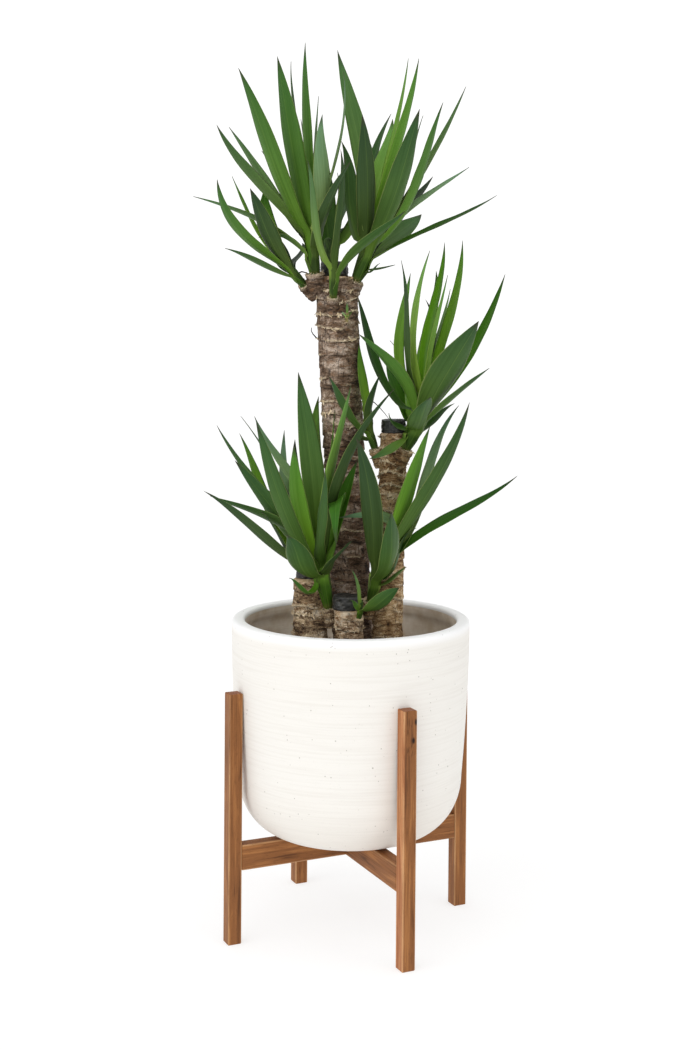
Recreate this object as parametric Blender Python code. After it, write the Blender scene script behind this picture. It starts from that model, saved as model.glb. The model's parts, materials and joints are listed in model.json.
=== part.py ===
"""A potted yucca: four bark-covered canes with leafy shoots, in a round pot on a crossed wooden stand.

Metres, +Z up. The origin is on the floor under the pot's axis; +X runs to the right and +Y to the back.
"""
import math
from collections import namedtuple

import bmesh
import bpy
from mathutils import Matrix, Vector
from mathutils.bvhtree import BVHTree

MM = 0.001

# Gap between pieces that touch
FIT = 0.3 * MM

# Stand: four square legs round two half-lapped bars, held by hidden dowels
STAND_TURN = math.radians(25.4)
LEG_SIDE = 18.5 * MM
LEG_HEIGHT = 328 * MM
LEG_REACH = 167.8 * MM
BAR_HEIGHT = 33 * MM
BAR_THICK = 18.5 * MM
BAR_TOP = 129 * MM
EDGE_EASE = 0.9 * MM
DOWEL_RADIUS = 4 * MM
DOWEL_LENGTH = 30 * MM
DOWEL_IN_LEG = 12 * MM
DOWEL_PITCH = 16 * MM

# Pot: a tall round-cornered bowl with a thick rolled rim
POT_RADIUS = 160 * MM
POT_TOP = 415 * MM
POT_BASE = BAR_TOP + FIT
POT_TAPER = 1.6 * MM
POT_FLARE = 7.7 * MM
CORNER_HEIGHT = 77 * MM
CORNER_WIDTH = 65 * MM
WALL = 13 * MM
FLOOR = 14 * MM
RIM_INNER = 142.5 * MM
RIM_DEPTH = 22 * MM
POT_SIDES = 44

# Soil: fills the pot to about 70 mm under its rim
SOIL_TOP = 344 * MM
SOIL_MOUND = 5 * MM
SOIL_ROUGH = 1.2 * MM

# Bark: leaf scars make saw-tooth rings up each cane
RING_PITCH = 28 * MM
RING_STEP = 1.3 * MM
COLLAR_WIDTH = 3.2 * MM
COLLAR_LENGTH = 26 * MM
SOCKET_DEPTH = 10 * MM

# Leaves: stiff pointed blades, folded in a shallow V
BLADE_STATIONS = (0.0, 0.2, 0.45, 0.7, 0.9)
BLADE_THICK = 1.5 * MM
BLADE_BASE = 0.42
BLADE_POINT = 1.7
S_BEND = 10.4
ROOT_OUT = 0.6
BLADE_FOLD = 0.16
TWIST_END = 0.35
FREE_FROM = 0.35
CLEARANCE = 1.0 * MM
SWING_STEP = 5 * MM
SWING_STEPS = 18

# Each cane runs from its foot in the soil to its sawn top, which wax seals, set off the centre by wax_shift
Cane = namedtuple("Cane", "foot top foot_radius top_radius sides wax_shift wax_radius wax_height")
CANES = {
    "cane_tall": Cane((12.6, 33, 205), (-24, 28, 874), 27.5, 28.5, 16, (-2, 2), 19.5, 22),
    "cane_middle": Cane((45.6, -4, 235), (56, 2, 664), 21.5, 18.4, 14, (0, 0), 17.5, 19.5),
    "cane_left": Cane((-53, -8, 235), (-54.5, -8, 468), 24, 23, 14, (-4, 6), 16, 10),
    "cane_front": Cane((1.5, -44, 250), (-3, -45, 434), 18.4, 19, 14, (-2, 0), 19.5, 20),
}

# A leaf springs from its shoot at a heading (0 right, 90 to the back) and leans from the upright. Its length
# runs from root to tip, its middle stands off that line by arch (upwards) and sway, its blade is turned, and
# hook (upwards) and drift bend it into an S. Degrees and millimetres, the flattest leaf of each shoot first
Leaf = namedtuple("Leaf", "heading lean length width arch sway turn hook drift")
Shoot = namedtuple("Shoot", "cane foot head foot_radius head_radius lowest leaves")
SHOOTS = {
    "shoot_top_left": Shoot("cane_tall", (-67, 14, 863), (-90, -6, 891), 6.5, 5.0, 0.3, (
        Leaf(110, 60, 120, 23, -1.5, 5, 20, 1, -1.5),
        Leaf(-148, 72, 118, 20, 0.5, -0.5, -10, 1.5, 0.5),
        Leaf(89, 65, 121, 19, 0.5, 7, 30, -1, -6.5),
        Leaf(-143, 46, 171, 24, -16, -8.5, -10, -3, -1.5),
        Leaf(-128, 40, 138, 28, -2.5, -2.5, -10, 1, 1),
        Leaf(155, 36, 161, 17, -8.5, 3, -5, 1.5, -0.5),
        Leaf(121, 35, 142, 32, -6.5, 9, -10, 0, -0.5),
    )),
    "shoot_top_fan": Shoot("cane_tall", (-52, 6, 878), (-57, -4, 941), 9.5, 6.0, 0.3, (
        Leaf(-165, 71, 81, 18, 15, 1, -10, 2, 0),
        Leaf(-166, 65, 181, 21, 12.5, 1.5, -10, -1, 0),
        Leaf(-75, 61, 222, 23.5, 3, -8.5, -30, 0, 0),
        Leaf(118, 49, 225, 41, 5.5, -7.5, -15, 1, -1.5),
        Leaf(135, 45, 249, 27.5, 0.5, 0, -10, 0.5, -0.5),
        Leaf(153, 42, 229, 31, -1.5, 0, 10, -3.5, 1.5),
        Leaf(98, 41, 252, 29, 1.5, -7, -65, -0.5, 1),
        Leaf(-130, 34, 259, 29, -1.5, -1.5, -5, 1.5, 1.5),
        Leaf(-81, 30, 181, 31, -1, 5.5, -40, 0.5, -4),
        Leaf(-119, 22, 245, 32.5, 0, 0, 5, 0, 0.5),
        Leaf(84, 17, 202, 22, 0.5, 2.5, 75, 0, 0),
        Leaf(122, 14, 245, 24.5, 0, -1.5, -50, -2, 3),
        Leaf(37, 13, 226, 20, -9, -5.5, 30, -2, -1.5),
        Leaf(-116, 5, 246, 21, -0.5, 0, 25, -0.5, -1.5),
    )),
    "shoot_top_front": Shoot("cane_tall", (-27, -4, 846), (-26, -24, 892), 6.0, 6.0, 0.3, (
        Leaf(-28, 50, 138, 25, 7.5, -3.5, 10, -2.5, 1),
        Leaf(-86, 40, 202, 16.5, -0.5, 3, -50, 0, 2.5),
        Leaf(-113, 31, 160, 19.5, -3.5, -6, 35, 1.5, 3),
        Leaf(-71, 18, 150, 16, 0.5, -2, -40, 0, 0),
        Leaf(-83, 14, 127, 18.5, -1, 2, -70, 0, 2),
    )),
    "shoot_top_right": Shoot("cane_tall", (3, 20, 868), (22, 12, 923), 9.0, 6.5, 0.3, (
        Leaf(22, 83, 53, 8.5, -2, 0, 20, 0.5, 0),
        Leaf(-20, 76, 30, 7, -5.5, 0.5, 5, 2.5, 0),
        Leaf(56, 63, 175, 42, 5.5, 3.5, -25, -2.5, -1.5),
        Leaf(-13, 63, 207, 17, 3.5, 0, -28, -3, 0.5),
        Leaf(50, 51, 201, 36.5, 3.5, 2.5, 10, -2, -1),
        Leaf(22, 50, 208, 23, 13, 3.5, -10, -2.5, -0.5),
        Leaf(-58, 35, 223, 34.5, -3, 4, 0, 0.5, -1),
        Leaf(30, 34, 290, 20, -6.5, -3, 0, -0.5, 0),
        Leaf(74, 33, 247, 32, 5.5, 15.5, 40, 0, 0.5),
        Leaf(-94, 29, 198, 32, 0, 2, -40, 0, 0.5),
        Leaf(-17, 28, 225, 27, -15, 4.5, 12, 4, -1),
        Leaf(37, 27, 216, 22, -9.5, -6.5, 30, 3.5, 2.5),
        Leaf(-120, 26, 157, 34, -0.5, -1.5, 25, 2, 3.5),
        Leaf(66, 25, 208, 32, 4, 6, 5, -2.5, -4.5),
        Leaf(59, 22, 295, 22.5, 0, -1, 40, -1, -1.5),
        Leaf(-40, 19, 262, 28, 0, -0.5, -10, -2, 1.5),
        Leaf(135, 13, 278, 32, 9, -9, 15, -2, 2),
    )),
    "shoot_top_back": Shoot("cane_tall", (-33, 59, 866), (-36, 80, 925), 8.0, 6.0, 0.3, (
        Leaf(77, 67, 125, 30.5, 8.5, 12, 15, 1.5, 2),
        Leaf(65, 61, 147, 36.5, 14.5, 13, 10, -2, -2),
        Leaf(99, 53, 149, 18.5, -1.5, 8, -40, 0, -0.5),
        Leaf(76, 42, 182, 47, 0.5, 2.5, 40, -1.5, -4.5),
        Leaf(117, 42, 191, 21, 2.5, -4.5, -20, 2.5, -4),
        Leaf(96, 31, 217, 38.5, -0.5, 1, -35, -0.5, 3),
        Leaf(59, 31, 203, 32, -13, -18, 15, -0.5, -0.5),
    )),
    "shoot_middle_right": Shoot("cane_middle", (71, -12, 643), (99, -20, 704), 9.0, 7.0, 0.3, (
        Leaf(-145, 112, 75, 15.5, -2, 1.5, 25, -0.5, 0.5),
        Leaf(45, 66, 93, 17, 0, 0, 5, 2, 1),
        Leaf(-78, 60, 100, 37, 2.5, -3.5, -25, 0.5, -0.5),
        Leaf(-164, 57, 43, 16, -6.5, -0.5, 30, -1.5, 0),
        Leaf(107, 56, 152, 27, 0, -1, -20, 0, 0),
        Leaf(102, 53, 191, 16.5, 1.5, -5.5, -60, 1.5, -4.5),
        Leaf(76, 53, 218, 28.5, -0.5, -1.5, 30, 0.5, 1),
        Leaf(-26, 52, 133, 20, 3, -0.5, 10, 0, 0),
        Leaf(-149, 39, 151, 26, 15.5, 8, -15, -2, -1),
        Leaf(-46, 38, 171, 50, 4.5, -4, 15, -1, 0.5),
        Leaf(27, 34, 238, 21.5, -10.5, -5, -9, 0, 0),
        Leaf(84, 34, 195, 24, -0.5, -9.5, 70, -0.5, -7),
        Leaf(65, 32, 208, 29.5, 2.5, 4.5, 55, -1, -2),
        Leaf(145, 32, 197, 26.5, -14.5, 8.5, -5, 3.5, -2.5),
        Leaf(74, 21, 207, 29, 1, 5, 40, -1.5, -5.5),
        Leaf(-118, 19, 213, 19, -3, -4.5, 40, 2, 4),
        Leaf(37, 16, 240, 23.5, -3, -2, 5, -2.5, -2.5),
        Leaf(-51, 14, 186, 20.5, 4.5, -5, -30, -1, 1),
        Leaf(122, 11, 186, 23, -13.5, 19.5, -20, 2.5, -4),
        Leaf(-83, 8, 211, 18.5, 3, -19, 70, 0, 1),
        Leaf(37, 8, 224, 26, 7, 6.5, 10, -4.5, -4),
    )),
    "shoot_middle_left": Shoot("cane_middle", (31, 2, 642), (21, -4, 674), 6.0, 4.5, 0.3, (
        Leaf(115, 106, 69, 20, 15.5, 7.5, -5, 1.5, 1),
        Leaf(-136, 44, 113, 22, -4.5, -3.5, 5, 1.5, 1),
        Leaf(-75, 30, 93, 22.5, 3, -7.5, -45, -0.5, 1),
        Leaf(110, 20, 124, 22.5, 0.5, 0, -35, -0.5, 1),
    )),
    "shoot_low_left": Shoot("cane_left", (-30, -21, 431), (-43, -27, 501), 8.0, 6.5, 0.6, (
        Leaf(-150, 83, 50, 14.5, -16.5, 1.5, 0, 6.5, -1),
        Leaf(-81, 64, 135, 31, 84, 13.5, -30, 2, -3.5),
        Leaf(-115, 57, 126, 37, -5, -4, -5, 3.5, 3),
        Leaf(-65, 57, 112, 32, 4.5, -4.5, -35, -0.5, 0.5),
        Leaf(-169, 54, 187, 18.5, 26, 0, -40, -5, 0),
        Leaf(-159, 54, 204, 16.5, -0.5, 0, -45, 3, 0),
        Leaf(99, 51, 143, 23, 0, 1.5, -30, 0, 1),
        Leaf(105, 45, 242, 29.5, -3.5, 12.5, -35, 0.5, -1),
        Leaf(-166, 43, 122, 17, -7.5, 0, -5, 4.5, 0.5),
        Leaf(84, 43, 118, 19.5, -1, -4.5, 50, 0.5, 3),
        Leaf(134, 40, 269, 25.5, 8, -8, -40, 1, -1),
        Leaf(158, 39, 253, 25, 1.5, -1, 0, -3, 1.5),
        Leaf(143, 39, 236, 30, -11.5, 9, -10, 4, -3),
        Leaf(-166, 38, 196, 27, 5, 0.5, -55, -1, 0),
        Leaf(116, 36, 226, 25, -9.5, 19, -30, 1, -2),
        Leaf(-130, 32, 244, 23.5, -7.5, -5.5, -25, 1.5, 1),
        Leaf(142, 31, 237, 23, 14.5, -11.5, 0, -6, 5),
        Leaf(-86, 27, 157, 26, 0, -1.5, 65, 0, 2),
        Leaf(-38, 26, 274, 28, 22, -14, -5, 0.5, 0),
        Leaf(-12, 19, 150, 30.5, 3.5, -0.5, -50, 0, 0),
        Leaf(-135, 17, 169, 27.5, -6.5, -6, -15, 0, 0),
        Leaf(95, 14, 227, 34.5, 0, 7, -40, 0, 1.5),
        Leaf(-49, 14, 248, 26, 6.5, -7, -20, -1.5, 2),
        Leaf(136, 10, 255, 34, 4, -4, 20, -0.5, 0.5),
        Leaf(-55, 9, 205, 17, 0.5, 0.5, -50, 0, 0),
    )),
    "shoot_low_right": Shoot("cane_middle", (27, -13, 440), (35, -40, 494), 7.5, 6.0, 0.3, (
        Leaf(-25, 59, 55, 18.5, -2.5, 0.5, -20, 1, 0),
        Leaf(-83, 53, 188, 31, -2, 8.5, -30, 0.5, -2),
        Leaf(-17, 52, 244, 16, 13.5, 0, -50, -6.5, 0),
        Leaf(48, 48, 110, 22, -0.5, -0.5, 35, 5, 4.5),
        Leaf(174, 33, 93, 24, 58.5, -8, 20, -1, 0),
        Leaf(-23, 29, 266, 24, -5.5, 1.5, 35, -3, 1),
        Leaf(-106, 28, 213, 28, 3, 7, -5, 0.5, 1),
        Leaf(15, 27, 251, 30.5, -5, -1.5, -10, 8, 2.5),
        Leaf(-12, 20, 206, 32, -1, 0, 30, 1, 0),
    )),
    "shoot_low_front": Shoot("cane_front", (11, -60, 426), (13, -70, 448), 4.0, 3.2, 0.3, (
        Leaf(-42, 60, 78, 21, -1.5, 0.5, 50, 1.5, 0),
        Leaf(-124, 56, 29, 8, 2, 1, 0, 1.5, 1),
        Leaf(-115, 28, 59, 9, 2, 3, 30, 0, 0.5),
    )),
    "sprout": Shoot("cane_tall", (-8.5, -1, 814), (-7.5, -8, 824), 2.4, 1.8, 0.3, (
        Leaf(-140, 52, 12, 4, 0, 0, 0, 0, 0),
        Leaf(-30, 45, 11, 4, 0, 0, 0, 0, 0),
        Leaf(-95, 22, 18, 4, 0, 0, 20, 0, 0),
    )),
}


def clear_scene():
    """Removes whatever objects the open file holds."""
    for obj in list(bpy.data.objects):
        bpy.data.objects.remove(obj)


def principled(name, colour, roughness):
    """A plain Principled material."""
    material = bpy.data.materials.new(name)
    material.use_nodes = True
    shader = material.node_tree.nodes["Principled BSDF"]
    shader.inputs["Base Color"].default_value = (*colour, 1)
    shader.inputs["Roughness"].default_value = roughness
    return material


def mm(point):
    """A point given in millimetres."""
    return Vector(point) * MM


def object_from(name, bm, material=None, smooth=False):
    """Turns a bmesh into a named object of the scene, its faces pointing out."""
    bmesh.ops.recalc_face_normals(bm, faces=bm.faces)
    mesh = bpy.data.meshes.new(name)
    bm.to_mesh(mesh)
    bm.free()
    if smooth:
        mesh.shade_smooth()
        mesh.set_sharp_from_angle(angle=math.radians(35))
    if material:
        mesh.materials.append(material)
    obj = bpy.data.objects.new(name, mesh)
    bpy.context.scene.collection.objects.link(obj)
    return obj


def along(point, direction):
    """The placing that stands +Z along a direction at a point."""
    return Matrix.Translation(point) @ direction.to_track_quat("Z", "Y").to_matrix().to_4x4()


def round_loop(centre, radius, sides):
    """Points of a level circle."""
    turns = [math.tau * side / sides for side in range(sides)]
    return [centre + Vector((math.cos(turn), math.sin(turn), 0)) * radius for turn in turns]


def tube(loops, crown=None):
    """A closed bmesh through loops of points, from the lowest up, its top flat or drawn to a crown point."""
    bm = bmesh.new()
    rings = [[bm.verts.new(point) for point in loop] for loop in loops]
    sides = len(rings[0])
    for low, high in zip(rings, rings[1:]):
        for side in range(sides):
            after = (side + 1) % sides
            bm.faces.new((low[side], low[after], high[after], high[side]))
    bm.faces.new(reversed(rings[0]))
    if crown is None:
        bm.faces.new(rings[-1])
        return bm
    point = bm.verts.new(crown)
    for side in range(sides):
        bm.faces.new((rings[-1][side], rings[-1][(side + 1) % sides], point))
    return bm


def rod(start, end, start_radius, end_radius, sides):
    """A closed round bar between two points, as a bmesh."""
    placing = along(start, end - start)
    steps = ((0, start_radius), ((end - start).length, end_radius))
    return tube([[placing @ point for point in round_loop(Vector((0, 0, distance)), radius, sides)]
                 for distance, radius in steps])


def settle_modifiers(obj):
    """Replaces an object's mesh with what its modifiers make of it."""
    evaluated = obj.evaluated_get(bpy.context.evaluated_depsgraph_get())
    mesh = bpy.data.meshes.new_from_object(evaluated)
    obj.modifiers.clear()
    obj.data = mesh


def keep_outer_shell(obj):
    """Drops the tiny closed pockets that crossing blades can shut in, keeping the body's one outer shell."""
    bm = bmesh.new()
    bm.from_mesh(obj.data)
    left = set(bm.verts)
    shells = []
    while left:
        shell, edge = set(), [left.pop()]
        while edge:
            vertex = edge.pop()
            shell.add(vertex)
            near = {link.other_vert(vertex) for link in vertex.link_edges} & left
            left -= near
            edge.extend(near)
        shells.append(shell)
    shells.sort(key=len)
    bmesh.ops.delete(bm, geom=[vertex for shell in shells[:-1] for vertex in shell], context="VERTS")
    bm.to_mesh(obj.data)
    bm.free()


def combine(obj, operation, bmeshes):
    """Joins bmeshes to an object, or cuts them from it, in one Boolean."""
    group = bpy.data.collections.new(obj.name + "_tools")
    bpy.context.scene.collection.children.link(group)
    for number, bm in enumerate(bmeshes):
        tool = object_from(f"{obj.name}_tool_{number}", bm)
        bpy.context.scene.collection.objects.unlink(tool)
        group.objects.link(tool)
        tool.hide_render = True
        tool.display_type = "WIRE"
    modifier = obj.modifiers.new(operation.title(), "BOOLEAN")
    modifier.operation = operation
    modifier.solver = "EXACT"
    modifier.operand_type = "COLLECTION"
    modifier.collection = group
    settle_modifiers(obj)
    for tool in list(group.objects):
        bpy.data.objects.remove(tool)
    bpy.data.collections.remove(group)


def ease_edges(obj):
    """Takes the sharpness off a wooden piece's edges."""
    modifier = obj.modifiers.new("Eased edges", "BEVEL")
    modifier.width = EDGE_EASE
    modifier.segments = 1
    modifier.limit_method = "ANGLE"
    settle_modifiers(obj)


def box(low, high):
    """A closed block between two corners, as a bmesh."""
    bm = bmesh.new()
    size = high - low
    placing = Matrix.Translation((low + high) / 2) @ Matrix.Diagonal((*size, 1))
    bmesh.ops.create_cube(bm, size=1, matrix=placing)
    return bm


def dowel_heights():
    """The two dowels of a joint, one above the other."""
    middle = BAR_TOP - BAR_HEIGHT / 2
    return middle - DOWEL_PITCH / 2, middle + DOWEL_PITCH / 2


def dowel_holes(side):
    """The holes that a joint's dowels need, in a bar lying along X, at its left (-1) or right (1) end."""
    inner = LEG_REACH - LEG_SIDE / 2
    outer_end = inner + DOWEL_IN_LEG + FIT
    inner_end = inner - (DOWEL_LENGTH - DOWEL_IN_LEG) - FIT
    return [rod(Vector((side * inner_end, 0, z)), Vector((side * outer_end, 0, z)),
                DOWEL_RADIUS + FIT, DOWEL_RADIUS + FIT, 12) for z in dowel_heights()]


def build_stand(wood, dowel_wood):
    """Two half-lapped bars, a leg at each of their four ends, and the dowels between them."""
    half = LEG_SIDE / 2
    bar_end = LEG_REACH - half - FIT
    lap = BAR_TOP - BAR_HEIGHT / 2
    thick = BAR_THICK / 2
    lap_half = thick + FIT
    for number, bar in enumerate(("bar_left_right", "bar_front_back")):
        placing = Matrix.Rotation(STAND_TURN + math.radians(90) * number, 4, "Z")
        obj = object_from(bar, box(Vector((-bar_end, -thick, BAR_TOP - BAR_HEIGHT)),
                                   Vector((bar_end, thick, BAR_TOP))), wood)
        ease_edges(obj)
        below, above = (BAR_TOP - 2 * BAR_HEIGHT, lap + FIT / 2), (lap - FIT / 2, BAR_TOP + BAR_HEIGHT)
        low, high = below if number else above
        notch = box(Vector((-lap_half, -BAR_HEIGHT, low)), Vector((lap_half, BAR_HEIGHT, high)))
        combine(obj, "DIFFERENCE", [notch, *dowel_holes(-1), *dowel_holes(1)])
        obj.data.transform(placing)
        for side, leg in ((-1, ("left", "front")), (1, ("right", "back"))):
            name = leg[number]
            post = object_from(f"leg_{name}", box(Vector((side * LEG_REACH - half, -half, 0)),
                                                  Vector((side * LEG_REACH + half, half, LEG_HEIGHT))), wood)
            ease_edges(post)
            combine(post, "DIFFERENCE", dowel_holes(side))
            post.data.transform(placing)
            inner_end = side * (LEG_REACH - half - (DOWEL_LENGTH - DOWEL_IN_LEG))
            outer_end = side * (LEG_REACH - half + DOWEL_IN_LEG)
            for place, z in zip(("low", "high"), dowel_heights()):
                start, end = Vector((inner_end, 0, z)), Vector((outer_end, 0, z))
                pin = rod(start, end, DOWEL_RADIUS, DOWEL_RADIUS, 12)
                dowel = object_from(f"dowel_{name}_{place}", pin, dowel_wood, smooth=True)
                dowel.data.transform(placing)


def ellipse(centre, width, height, steps):
    """Points of a quarter ellipse from its side down to its bottom, without the first."""
    turns = [math.pi / 2 * (k + 1) / steps for k in range(steps)]
    return [(centre[0] + width * math.cos(a), centre[1] - height * math.sin(a)) for a in turns]


def pot_side(z):
    """The pot's outer radius on its side, above the round corner."""
    corner = POT_BASE + CORNER_HEIGHT
    t = (POT_TOP - 6 * MM - z) / (POT_TOP - 6 * MM - corner)
    return POT_RADIUS - POT_TAPER * t - POT_FLARE * t * t


def inner_profile(offset):
    """The pot's inside, from under the rim to the floor's centre, moved in from the wall by an offset."""
    corner = POT_BASE + CORNER_HEIGHT
    heights = [corner + (POT_TOP - RIM_DEPTH - corner) * k / 2 for k in (2, 1, 0)]
    points = [(pot_side(z) - WALL - offset, z) for z in heights]
    foot = (pot_side(corner) - CORNER_WIDTH - offset, corner)
    points += ellipse(foot, CORNER_WIDTH - WALL, CORNER_HEIGHT - FLOOR - offset, 4)
    return points + [(0, POT_BASE + FLOOR + offset)]


def radius_at(profile, height):
    """The radius, at a height, of a profile that runs from the top down."""
    for (radius, z), (lower_radius, lower_z) in zip(profile, profile[1:]):
        if lower_z <= height <= z:
            return radius + (lower_radius - radius) * (z - height) / (z - lower_z)
    return 0.0


def lathe(profile, sides):
    """Turns a profile of (radius, height) points, which starts and ends on the axis, into a closed bmesh."""
    bm = bmesh.new()
    points = [bm.verts.new((radius, 0, z)) for radius, z in profile]
    edges = [bm.edges.new(pair) for pair in zip(points, points[1:])]
    bmesh.ops.spin(bm, geom=points + edges, cent=(0, 0, 0), axis=(0, 0, 1), angle=math.tau, steps=sides,
                   use_merge=True)
    bmesh.ops.remove_doubles(bm, verts=bm.verts, dist=0.01 * MM)
    return bm


def build_pot(glaze):
    """The pot, standing on the bars."""
    corner = POT_BASE + CORNER_HEIGHT
    outer = [(0, POT_BASE)]
    outer += reversed(ellipse((pot_side(corner) - CORNER_WIDTH, corner), CORNER_WIDTH, CORNER_HEIGHT, 6))
    heights = [corner + (POT_TOP - 6 * MM - corner) * k / 3 for k in range(4)]
    outer += [(pot_side(z), z) for z in heights]
    rim = [(POT_RADIUS - 1 * MM, POT_TOP - 2.6 * MM), (POT_RADIUS - 4 * MM, POT_TOP - 0.4 * MM),
           (POT_RADIUS - 9 * MM, POT_TOP), (RIM_INNER + 1.5 * MM, POT_TOP - 1.2 * MM),
           (RIM_INNER, POT_TOP - 5 * MM), (RIM_INNER + 0.5 * MM, POT_TOP - 14 * MM)]
    object_from("pot", lathe(outer + rim + inner_profile(0), POT_SIDES), glaze, smooth=True)


def soil_height(x, y):
    """The soil's surface: a low mound with shallow hollows."""
    radius = math.hypot(x, y)
    mound = SOIL_MOUND * math.cos(min(radius / POT_RADIUS, 1) * math.pi / 2)
    waves = math.sin(x / (17 * MM) + 1.3) * math.cos(y / (14 * MM)) + math.sin((x + y) / (31 * MM))
    return SOIL_TOP + mound + SOIL_ROUGH * waves


def build_soil(material):
    """The soil, a body that fills the pot's inside, with a plain hole for each cane."""
    inside = inner_profile(FIT)
    wall = [point for point in inside if point[1] < SOIL_TOP]
    reach = radius_at(inside, SOIL_TOP)
    top = [(reach * k / 5, SOIL_TOP) for k in range(6)]
    bm = lathe(top + wall, POT_SIDES)
    for vertex in bm.verts:
        if abs(vertex.co.z - SOIL_TOP) < 0.01 * MM:
            vertex.co.z = soil_height(vertex.co.x, vertex.co.y)
    soil = object_from("soil", bm, material)
    holes = []
    for cane in CANES.values():
        foot, top_end = mm(cane.foot), mm(cane.top)
        rise = (top_end - foot) / (top_end.z - foot.z)
        radius = cane.foot_radius * MM + FIT
        loops = [round_loop(foot + rise * height, radius, cane.sides)
                 for height in (-FIT, SOIL_TOP + 40 * MM - foot.z)]
        holes.append(tube(loops))
    combine(soil, "DIFFERENCE", holes)


def cane_radius(cane, z, theta, ring, seed):
    """A cane's radius at a height and a direction round it: plain in the soil, ringed and uneven above."""
    foot_z, top_z = cane.foot[2] * MM, cane.top[2] * MM
    share = (z - foot_z) / (top_z - foot_z)
    radius = (cane.foot_radius + (cane.top_radius - cane.foot_radius) * share) * MM
    if z < SOIL_TOP + 9 * MM:
        return cane.foot_radius * MM
    uneven = 0.025 * math.sin(2 * theta + 0.8 * ring + seed) + 0.018 * math.sin(3 * theta - 1.7 * ring)
    return radius * (1 + uneven)


def cane_stations(cane):
    """Heights up a cane, each with the step in radius that a leaf scar makes there, and the ring's number."""
    top = cane.top[2] * MM
    start = SOIL_TOP + 9 * MM
    rings = round((top - 6 * MM - start) / RING_PITCH)
    pitch = (top - 6 * MM - start) / rings
    stations = [(cane.foot[2] * MM, 0, 0), (start - 0.5 * MM, 0, 0)]
    for ring in range(rings):
        stations.append((start + ring * pitch, RING_STEP, ring))
        stations.append((start + (ring + 0.86) * pitch, -RING_STEP, ring))
    return stations + [(top - 5 * MM, 0, rings), (top, -3.0 * MM, rings)]


def cane_body(cane, seed):
    """A cane's bark-covered stem, as a closed bmesh."""
    foot, top = mm(cane.foot), mm(cane.top)
    loops = []
    for z, step, ring in cane_stations(cane):
        centre = foot.lerp(top, (z - foot.z) / (top.z - foot.z))
        loop = []
        for side in range(cane.sides):
            theta = math.tau * side / cane.sides
            radius = cane_radius(cane, z, theta, ring, seed) + step
            loop.append(centre + Vector((math.cos(theta), math.sin(theta), 0)) * radius)
        loops.append(loop)
    return tube(loops)


def shoot_axis(shoot):
    """A shoot's foot, head and direction."""
    foot, head = mm(shoot.foot), mm(shoot.head)
    return foot, head, (head - foot).normalized()


def build_canes(bark, wax):
    """The canes, with a collar of bark and a socket for each shoot, and the wax that seals their tops."""
    for seed, (name, cane) in enumerate(CANES.items()):
        obj = object_from(name, cane_body(cane, 1.3 * seed), bark, smooth=True)
        shoots = [shoot for shoot in SHOOTS.values() if shoot.cane == name]
        collars, sockets = [], []
        for shoot in shoots:
            foot, head, direction = shoot_axis(shoot)
            width = COLLAR_WIDTH * min(1, shoot.foot_radius / 4)
            radius = shoot.foot_radius * MM
            root = foot - direction * COLLAR_LENGTH
            collars.append(rod(root, foot, radius + 0.5 * width, radius + width, 12))
            bottom, top = foot - direction * (SOCKET_DEPTH + FIT), head + direction * SOCKET_DEPTH
            sockets.append(rod(bottom, top, radius + FIT, radius + FIT, 10))
        combine(obj, "UNION", collars)
        combine(obj, "DIFFERENCE", sockets)
        build_wax(name.replace("cane", "wax"), cane, wax, seed)


def build_wax(name, cane, material, seed):
    """A lumpy black crust on a cane's sawn top."""
    height = cane.wax_height * MM
    base = mm(cane.top) + Vector((cane.wax_shift[0] * MM, cane.wax_shift[1] * MM, FIT))
    loops = []
    for level, share in ((0, 0.97), (0.45, 1.0), (0.86, 0.95), (1.0, 0.78)):
        loop = []
        for side in range(14):
            theta = math.tau * side / 14
            lump = 1 - 0.04 * (1 + math.sin(3 * theta + 2 * level + seed)) * level
            radius = cane.wax_radius * MM * share * lump
            rise = height * level * (1 - 0.07 * (1 + math.sin(2 * theta + seed)) * level)
            loop.append(base + Vector((math.cos(theta) * radius, math.sin(theta) * radius, rise)))
        loops.append(loop)
    object_from(name, tube(loops, base + Vector((0, 0, height * 0.93))), material, smooth=True)


def root_share(shoot, leaf):
    """How far up its shoot a leaf springs: the flatter it leans, the lower and older it is."""
    return min(1.0, max(shoot.lowest, 1.0 - leaf.lean / 100))


def leaf_curve(shoot, leaf, swing):
    """A leaf's root and tip, its tip moved in depth by swing, its bow, its S-bend and its upward side."""
    foot, head, _ = shoot_axis(shoot)
    heading, lean = math.radians(leaf.heading), math.radians(leaf.lean)
    out = Vector((math.cos(heading), math.sin(heading), 0))
    run = out * math.sin(lean) + Vector((0, 0, math.cos(lean)))
    upper = Vector((0, 0, math.sin(lean))) - out * math.cos(lean)
    side = Vector((-out.y, out.x, 0))
    seat = foot.lerp(head, root_share(shoot, leaf))
    root = seat + out * shoot.head_radius * MM * ROOT_OUT
    tip = seat + run * leaf.length * MM + Vector((0, swing, 0))
    bow = (upper * leaf.arch + side * leaf.sway) * 4 * MM
    bend = (upper * leaf.hook + side * leaf.drift) * S_BEND * MM
    return root, tip, bow, bend, upper


def outline(s):
    """A blade's width along its length, as a share of its widest: full by half way, then drawn to a point."""
    if s < 0.5:
        return BLADE_BASE + (1 - BLADE_BASE) * math.sin(math.pi * s)
    return 1 - ((s - 0.5) / 0.5) ** BLADE_POINT


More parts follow.
